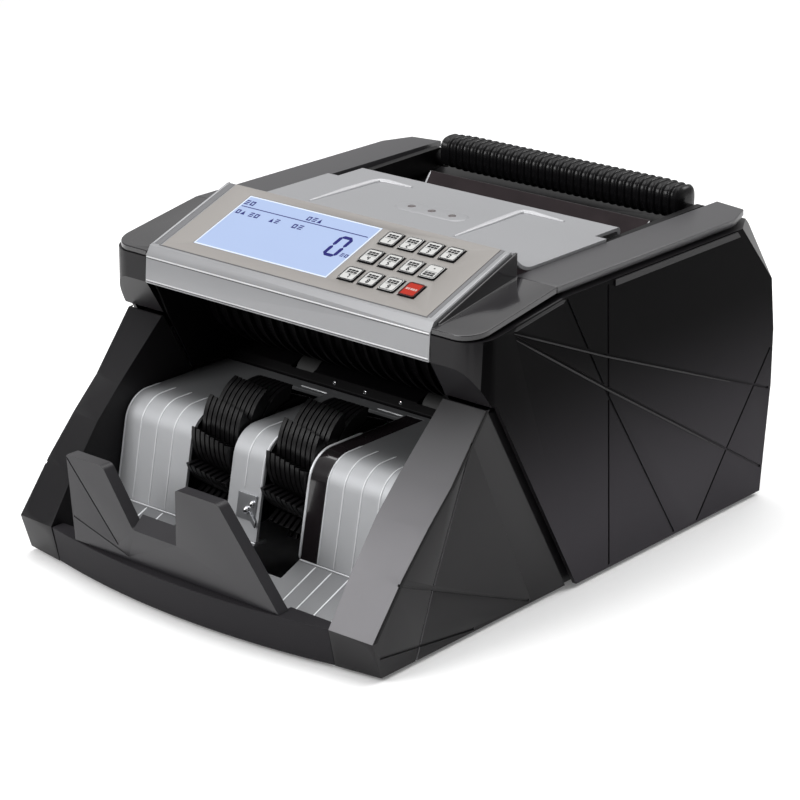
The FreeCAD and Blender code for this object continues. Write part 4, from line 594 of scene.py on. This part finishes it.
def bezel_slants(work):
    """Slanted bands between the overlay and the bezel's two ends, darker as painted shade."""
    for inner, outer in ((-92.5, -96.6), (92.5, 95.0)):
        front, back = [[on_panel(inner, up, -0.3), on_panel(outer, up, -0.3), on_panel(outer, up, 0.12),
                        on_panel(inner, up, 0.03)] for up in (2.2, 63.6)]
        prism(work, front, back)


def bezel_rims(work):
    """Raised rounded rims along the bezel's two sides."""
    normal = on_panel(0, 0, 1) - on_panel(0, 0, 0)
    normal.normalize()
    for x in (-97.6, 97.6):
        spine = [(on_panel(x, up, 0.0), normal) for up in (1.2, 2.5, 30.0, 61.0, 62.6)]
        ridge(work, spine, 0.75, 0.5)


def front_lines(work, levels, half, height):
    """Raised lines across the bezel's front face at these heights."""
    for level in levels:
        y = 74.5 + (level - 140.8) / 15.6
        spine = [(at(x, y, level), Vector((0, -0.998, 0.064))) for x in (-98.2, -97.0, 0.0, 97.0, 98.2)]
        ridge(work, spine, half, height, ends=0.8)


detail("bezel_shadow_step", bezel_steps, "panel_bezel", SHADOW, smooth=False)
detail("bezel_shaded_borders", bezel_slants, "panel_bezel", SLANT, smooth=False)
detail("bezel_side_rims", bezel_rims, "panel_bezel", SILVER)
# The pale raised lines across the bezel's front are painted highlights, the dark lines just under them
# painted shadows.
detail("bezel_front_highlights", lambda work: front_lines(work, (155.4, 142.6), 0.4, 0.35), "panel_bezel", FRONT_HIGHLIGHT)
detail("bezel_front_shadows", lambda work: front_lines(work, (154.7, 141.9), 0.3, 0.12), "panel_bezel",
       SHADOW)


# ---------------------------------------------------------------- carry handle

GRIP_Y, GRIP_Z, GRIP_HALF, GRIP_RIBS = 311.0, 168.4, 86.0, 32


def grip_ring(work, x, share):
    """One closed ring of the grip's rounded section."""
    ring = []
    for index in range(40):
        turn = math.tau * index / 40
        run, rise = math.cos(turn), math.sin(turn)
        reach = 1.0 / (abs(run) ** 3.0 + abs(rise) ** 3.0) ** (1 / 3.0)
        point = at(x, GRIP_Y + 9.7 * reach * share * run, GRIP_Z + 10.0 * reach * share * rise)
        ring.append(work.verts.new(point))
    return ring


def grip(work):
    """A rounded bar with narrow rounded ribs, its two ends turned in."""
    pitch = (GRIP_HALF - 7.5) * 2 / (GRIP_RIBS - 1)
    profile = [(-GRIP_HALF + inset, share) for inset, share in ((0.0, 0.30), (0.4, 0.66), (1.4, 0.84),
                                                                (2.8, 0.92))]
    rib_shape = ((-1.9, 0.87), (-1.25, 0.885), (-0.95, 0.95), (-0.45, 0.99), (0.0, 1.0), (0.45, 0.99),
                 (0.95, 0.95), (1.25, 0.885), (1.9, 0.87))
    for rib in range(GRIP_RIBS):
        middle = -GRIP_HALF + 7.5 + pitch * rib
        rise = min(1.0, 0.95 + 0.03 * min(rib, GRIP_RIBS - 1 - rib))
        profile += [(middle + step, share * rise) for step, share in rib_shape]
    profile += [(-x, share) for x, share in profile[3::-1]]
    close_rings(work, [grip_ring(work, x, share) for x, share in profile])


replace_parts(detail("handle_grip_ribbed", grip, "handle_grip", RUBBER), "handle_grip")


def rest_edges(work):
    """The edges of the note rest's two ends, pale as painted highlights."""
    lean = math.radians(52.0)
    across = Vector((0, -math.cos(lean), -math.sin(lean)))
    front = Vector((0, -math.sin(lean), math.cos(lean)))
    for x in (-78.0, 78.0):
        spine = [(at(x, 286.5, 162.0) + across * (down * MM), front) for down in (0.5, 2.0, 27.0, 53.0, 55.0)]
        ridge(work, spine, 0.6, 0.3)


detail("note_rest_edges", rest_edges, "note_rest", RIDGE_HIGHLIGHT)


# ---------------------------------------------------------------- side trim, with a painted highlight

FAN_LINES = (((104.0, 156.0), (180.9, 123.8), (334.5, 63.5)), ((106.0, 152.1), (181.7, 105.7), (330.0, 17.5)))


def side_lips(work, sign):
    """Raised lips under the two long engraved lines, and the ledge under the rail."""
    aside = Vector((sign, 0, 0))
    for points in FAN_LINES:
        spine = []
        for (y_from, z_from), (y_to, z_to) in zip(points, points[1:]):
            for step in range(4):
                part = step / 4
                y, z = y_from + (y_to - y_from) * part, z_from + (z_to - z_from) * part
                spine.append((at(sign * 128.5, y, z - 1.2), aside))
        ridge(work, spine, 0.5, 0.35, steps=4)
    ledge = ((186.0, 159.6), (186.0, 163.0), (296.0, 163.0), (299.0, 159.6))
    side_plate(work, ledge, sign * 128.0, sign * 129.4)


def side_shoulder(work, sign):
    """The rounded shoulder under the front of the rail, in the wing fronts' finish: a painted highlight on
    the right, painted shade on the left.
    """
    normal = Vector((sign * 0.8, 0, 0.6))
    climb = ((104.0, 156.4), (106.0, 156.9), (125.0, 159.6), (143.0, 162.0), (146.0, 162.4))
    ridge(work, [(at(sign * 127.9, y, z), normal) for y, z in climb], 1.5, 0.8)


for side, sign, front in SIDES:
    detail("side_lips_" + side, lambda work: side_lips(work, sign), "side_shell_" + side, SHELL)
    detail("side_shoulder_" + side, lambda work: side_shoulder(work, sign), "side_shell_" + side, front)


# ---------------------------------------------------------------- hopper plate

PLATE_TOP = 170.8
SENSORS, SENSOR_Y = (-17.5, -3.2, 11.1), 198.0
UP = Vector((0, 0, 1))


def hopper_ridges(work):
    """Two embossed legs with their feet turned to the right."""
    left = ((-68.0, 171.0), (-67.2, 200.0), (-66.2, 222.0), (-64.6, 225.8), (-60.0, 227.4), (-43.0, 228.0))
    right = ((35.0, 171.0), (34.5, 200.0), (33.6, 226.0), (35.0, 229.6), (39.5, 231.0), (62.0, 230.0))
    for path in (left, right):
        ridge(work, [(at(x, y, PLATE_TOP), UP) for x, y in path], 1.9, 1.6, steps=10)


def sensor_pill(work):
    """A low raised oval around the three sensor holes."""
    rings = []
    for half_x, half_y, rise in ((24.0, 7.2, -0.3), (24.0, 7.2, 0.0), (23.2, 6.4, 0.45), (22.2, 5.5, 0.6)):
        ring = []
        for index in range(48):
            turn = math.tau * index / 48
            reach = (half_x - half_y) * (1 if math.cos(turn) > 0 else -1)
            x, y = SENSORS[1] + reach + half_y * math.cos(turn), SENSOR_Y + half_y * math.sin(turn)
            ring.append(work.verts.new(at(x, y, PLATE_TOP + rise)))
        rings.append(ring)
    close_rings(work, rings)


# The embossed legs are paler than the plate as painted highlights.
detail("hopper_ridges", hopper_ridges, "hopper_plate", RIDGE_HIGHLIGHT)
detail("hopper_sensor_pill", sensor_pill, "hopper_plate", PLATE)


def sensor_windows(work):
    """The domed windows of the three sensors."""
    dome = ((0, 2.3), (0.25, 2.3), (0.45, 1.9), (0.5, 0.8))
    for x in SENSORS:
        lathe(work, at(x, SENSOR_Y, PLATE_TOP + 0.4), UP, dome, 24)


detail("hopper_sensor_windows", sensor_windows, "hopper_sensors", LENS)


# ---------------------------------------------------------------- stacker

LEAN = math.radians(11.3)
FACE_OUT = Vector((0, -math.cos(LEAN), math.sin(LEAN)))
BEND_Y, BEND_Z, BEND = 71.79, 65.30, 17.0


def stacker_spine(x, z_low=28.4, y_end=82.0):
    """Points and normals up the stacker plate's face, round its bend and along the deck."""
    top_z = BEND_Z + BEND * math.sin(LEAN)
    spine = []
    for z in (z_low, z_low + 1.2, (z_low + top_z) / 2, top_z - 2.0):
        spine.append((at(x, 47.0 + (z - 28.0) * math.tan(LEAN), z), FACE_OUT))
    for step in range(1, 13):
        turn = LEAN + (math.pi / 2 - LEAN) * step / 12
        normal = Vector((0, -math.cos(turn), math.sin(turn)))
        spine.append((at(x, BEND_Y, BEND_Z) + normal * (BEND * MM), normal))
    for y in (BEND_Y + (y_end - BEND_Y) * 0.5, y_end - 2.0, y_end):
        spine.append((at(x, y, BEND_Z + BEND), UP))
    return spine


def level_ridge(work, x_from, x_to, y, z, normal, half, height):
    """A raised line straight across the machine."""
    middle = (x_from + x_to) / 2
    ridge(work, [(at(x, y, z), normal) for x in (x_from, x_from + 1, middle, x_to - 1, x_to)], half, height)


def stacker_lines(work):
    """Raised lines from the foot of the plate over its bend."""
    for x in (-97.3, -85.5, -73.4, -61.4, 59.6, 71.5, 83.4, 95.3):
        ridge(work, stacker_spine(x), 0.5, 0.4)
    ridge(work, stacker_spine(-6.6, 54.0), 0.5, 0.4)
    ridge(work, stacker_spine(4.6, 54.0), 0.5, 0.4)
    ridge(work, stacker_spine(48.6), 0.45, 0.35)


def strip_edge(work):
    """The edge beside the dark strip, pale as a painted highlight."""
    ridge(work, stacker_spine(36.2, y_end=96.0), 0.8, 0.6)


def tray_lines(work):
    """Raised lines down the sloping tray and along its joint with the plate."""
    slope = math.radians(21.8)
    fall = math.tan(slope)
    normal = Vector((0, -math.sin(slope), math.cos(slope)))
    for x in (-85.5, -73.4, -61.4, 48.6, 59.6, 71.5, 83.4, 95.3):
        spine = [(at(x, y, 27.4 - (46.7 - y) * fall), normal) for y in (17.0, 18.5, 32.0, 44.5, 45.8)]
        ridge(work, spine, 0.5, 0.35)
    for x_from, x_to in ((-98.0, -48.6), (-17.2, 5.2), (36.6, 98.0)):
        level_ridge(work, x_from, x_to, 46.6, 27.6, Vector((0, -0.6, 0.8)), 0.45, 0.4)


# The raised lines, the strip's edge and the deck's lips are pale as painted highlights.
detail("stacker_plate_lines", stacker_lines, "stacker_plate", LINE_HIGHLIGHT)
detail("stacker_strip_edge", strip_edge, "stacker_plate", LINE_HIGHLIGHT)
detail("stacker_tray_lines", tray_lines, "stacker_tray", LINE_HIGHLIGHT)


def face_point(x, z, out=0.0):
    """A point on the stacker plate's face, or this far in front of it."""
    return at(x, 47.0 + (z - 28.0) * math.tan(LEAN), z) + FACE_OUT * (out * MM)


def sensor_bracket(work):
    """A thin plate with a small arm that reaches down to the right."""
    plate = ((-9.5, 38.5), (2.8, 38.5), (3.4, 52.0), (-9.5, 52.0))
    arm = ((-1.0, 41.0), (4.8, 35.6), (5.2, 38.4), (0.6, 43.5))
    for outline, low, high in ((plate, 0.2, 1.3), (arm, 1.0, 2.1)):
        prism(work, *[[face_point(x, z, out) for x, z in outline] for out in (low, high)])


def sensor_domes(work):
    """The bracket's two bright domes."""
    for x, z, radius in ((1.2, 47.4, 1.8), (-2.2, 43.6, 2.1)):
        profile = [(0.8, radius), (1.6, radius)]
        profile += [(1.6 + radius * math.sin(turn), radius * math.cos(turn))
                    for turn in (math.radians(step * 14) for step in range(1, 7))]
        lathe(work, face_point(x, z), FACE_OUT, profile, 24)


bracket = detail("stacker_sensor_bracket", sensor_bracket, "stacker_sensor", ZINC, round_by=0.2)
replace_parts(bracket, "stacker_sensor")
detail("stacker_sensor_domes", sensor_domes, "stacker_sensor", STEEL)


def deck_slots(work):
    """Lips of the two windows behind the impellers, pale as painted highlights."""
    for x_from, x_to in ((-36.5, -17.6), (18.3, 36.0)):
        level_ridge(work, x_from, x_to, 128.3, 82.3, UP, 0.5, 0.4)


def guide_screws(work):
    """Small bright screws in two rows along the guide behind the deck."""
    for y, z, places in ((134.9, 80.5, (-94.0, -49.5, 14.0, 70.0)), (137.0, 85.2, (-20.0, 2.0, 27.0))):
        for x in places:
            screw_head(work, at(x, y, z), (0, -1, 0.25), 1.3)


detail("deck_window_lips", deck_slots, "stacker_plate", LINE_HIGHLIGHT)
detail("guide_screws", guide_screws, "casing_screws", STEEL)


# ---------------------------------------------------------------- rear and underside

def cover_screws(work):
    """The rear cover's four screws."""
    for x in (-90.0, 90.0):
        screw_head(work, at(x, 336.8, 74.0), (0, 1, 0), 3.2)
        screw_head(work, at(x, 334.2, 118.0), (0, 0.991, 0.132), 3.2)


def base_screws(work):
    """The bottom plate's six screws."""
    for x in (-70.0, 70.0):
        for y in (60.0, 180.0, 290.0):
            screw_head(work, at(x, y, 2.5), (0, 0, -1), 3.2)


def knob(work):
    """The knurled knob, its pointer and its spindle."""
    def knurled(turn, along):
        """Shallow flutes on the part that stands out of the cover."""
        return 1.0 if along < 0.0 else 1.0 - 0.05 * (0.5 + 0.5 * math.cos(turn * 24))
    centre, back = at(0.0, 337.0, 118.0), (0, 1, 0)
    head = ((-1.2, 8.2), (-0.8, 9.0), (0.0, 9.0), (3.6, 8.8), (4.3, 8.1), (4.5, 7.2))
    lathe(work, centre, back, head, 192, knurled)
    lathe(work, centre, back, [(-24.0, 3.0), (-1.0, 3.0)], 24)
    pointer = ((-0.6, 4.2), (0.6, 4.2), (0.6, 4.8), (-0.6, 4.8))
    prism(work, *[[centre + Vector((x * MM, y * MM, z * MM)) for x, y in pointer] for z in (3.0, 8.0)])


def rocker_marks(work):
    """A short bar on the upper half of the rocker."""
    bar = ((-36.3, 35.0), (-36.3, 37.6), (-35.7, 37.6), (-35.7, 35.0))
    prism(work, *[[at(x, y, z) for x, z in bar] for y in (338.0, 338.65)])


screws = detail("bottom_screw_heads", base_screws, "casing_screws", STEEL)
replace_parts(screws, "casing_screws")
detail("rear_screw_heads", cover_screws, "casing_screws", STEEL)
turned = detail("gap_knob", knob, "feed_gap_knob", BLACK)
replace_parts(turned, "feed_gap_knob")
detail("rocker_marks", rocker_marks, "switch_rocker", PRINT_WHITE)


# ---------------------------------------------------------------- setting

def studio_world():
    """An even sky, dimmer towards the horizon and towards the front."""
    world = bpy.data.worlds.new("studio")
    world.use_nodes = True
    tree = world.node_tree
    coords = node_of(tree, "ShaderNodeTexCoord", (-900, 0))
    split = node_of(tree, "ShaderNodeSeparateXYZ", (-700, 0))
    tree.links.new(coords.outputs["Generated"], split.inputs[0])
    height = map_range(tree, split.outputs["Z"], (-500, 0), 0.0, 0.8, 0.45, 0.85)
    depth = map_range(tree, split.outputs["Y"], (-500, -300), -0.5, 0.5, 0.35, 1.0)
    both = node_of(tree, "ShaderNodeMath", (-250, 0))
    both.operation = "MULTIPLY"
    tree.links.new(height.outputs["Result"], both.inputs[0])
    tree.links.new(depth.outputs["Result"], both.inputs[1])
    tree.links.new(both.outputs[0], tree.nodes["Background"].inputs["Strength"])
    tree.nodes["Background"].inputs["Color"].default_value = (1.0, 1.0, 1.0, 1.0)
    bpy.context.scene.world = world


def add_camera():
    """A long lens in front of the machine and to its right, looking down at it."""
    down, turned = math.radians(20.226), math.radians(40.669)
    camera = bpy.data.cameras.new("camera")
    camera.sensor_width = 36.0
    camera.lens = 124.74
    viewer = bpy.data.objects.new("camera", camera)
    viewer.location = (0.9226, -1.0714, 0.5933)
    viewer.rotation_euler = (math.pi / 2 - down, 0.0, turned)
    bpy.context.scene.collection.objects.link(viewer)
    bpy.context.scene.camera = viewer


def add_floor():
    """A wide pale floor with a weak glow that lightens the shadow."""
    size = 6.0
    corners = [(x * size, y * size, 0) for x, y in ((-1, -1), (1, -1), (1, 1), (-1, 1))]
    mesh = mesh_of("floor", lambda work: work.faces.new([work.verts.new(corner) for corner in corners]))
    mesh.materials.append(finish_of("pale_floor", (0.93, 0.93, 0.93), 0.8, mottle=0.01, grain=0.05, cloud=400,
                                    Emission_Color=(1.0, 1.0, 1.0, 1.0), Emission_Strength=0.1))
    floor = bpy.data.objects.new("floor", mesh)
    bpy.context.scene.collection.objects.link(floor)


def area_light(name, place, target, size, power):
    """A square soft light that faces its target."""
    light = bpy.data.lights.new(name, "AREA")
    light.shape = "SQUARE"
    light.size = size
    light.energy = power
    lamp = bpy.data.objects.new(name, light)
    lamp.location = place
    lamp.rotation_euler = (Vector(target) - Vector(place)).to_track_quat("-Z", "Y").to_euler()
    bpy.context.scene.collection.objects.link(lamp)


add_floor()
studio_world()
area_light("overhead", (-0.1, 0.1, 1.5), (0, 0, 0), 1.6, 22.0)
area_light("front_softbox", (-0.55, -1.45, 1.05), (0, 0, 0.1), 0.8, 19.0)
area_light("rear_rim", (0.75, 1.45, 1.25), (0, 0, 0.1), 0.5, 7.0)
add_camera()
bpy.context.scene.view_settings.view_transform = "Standard"
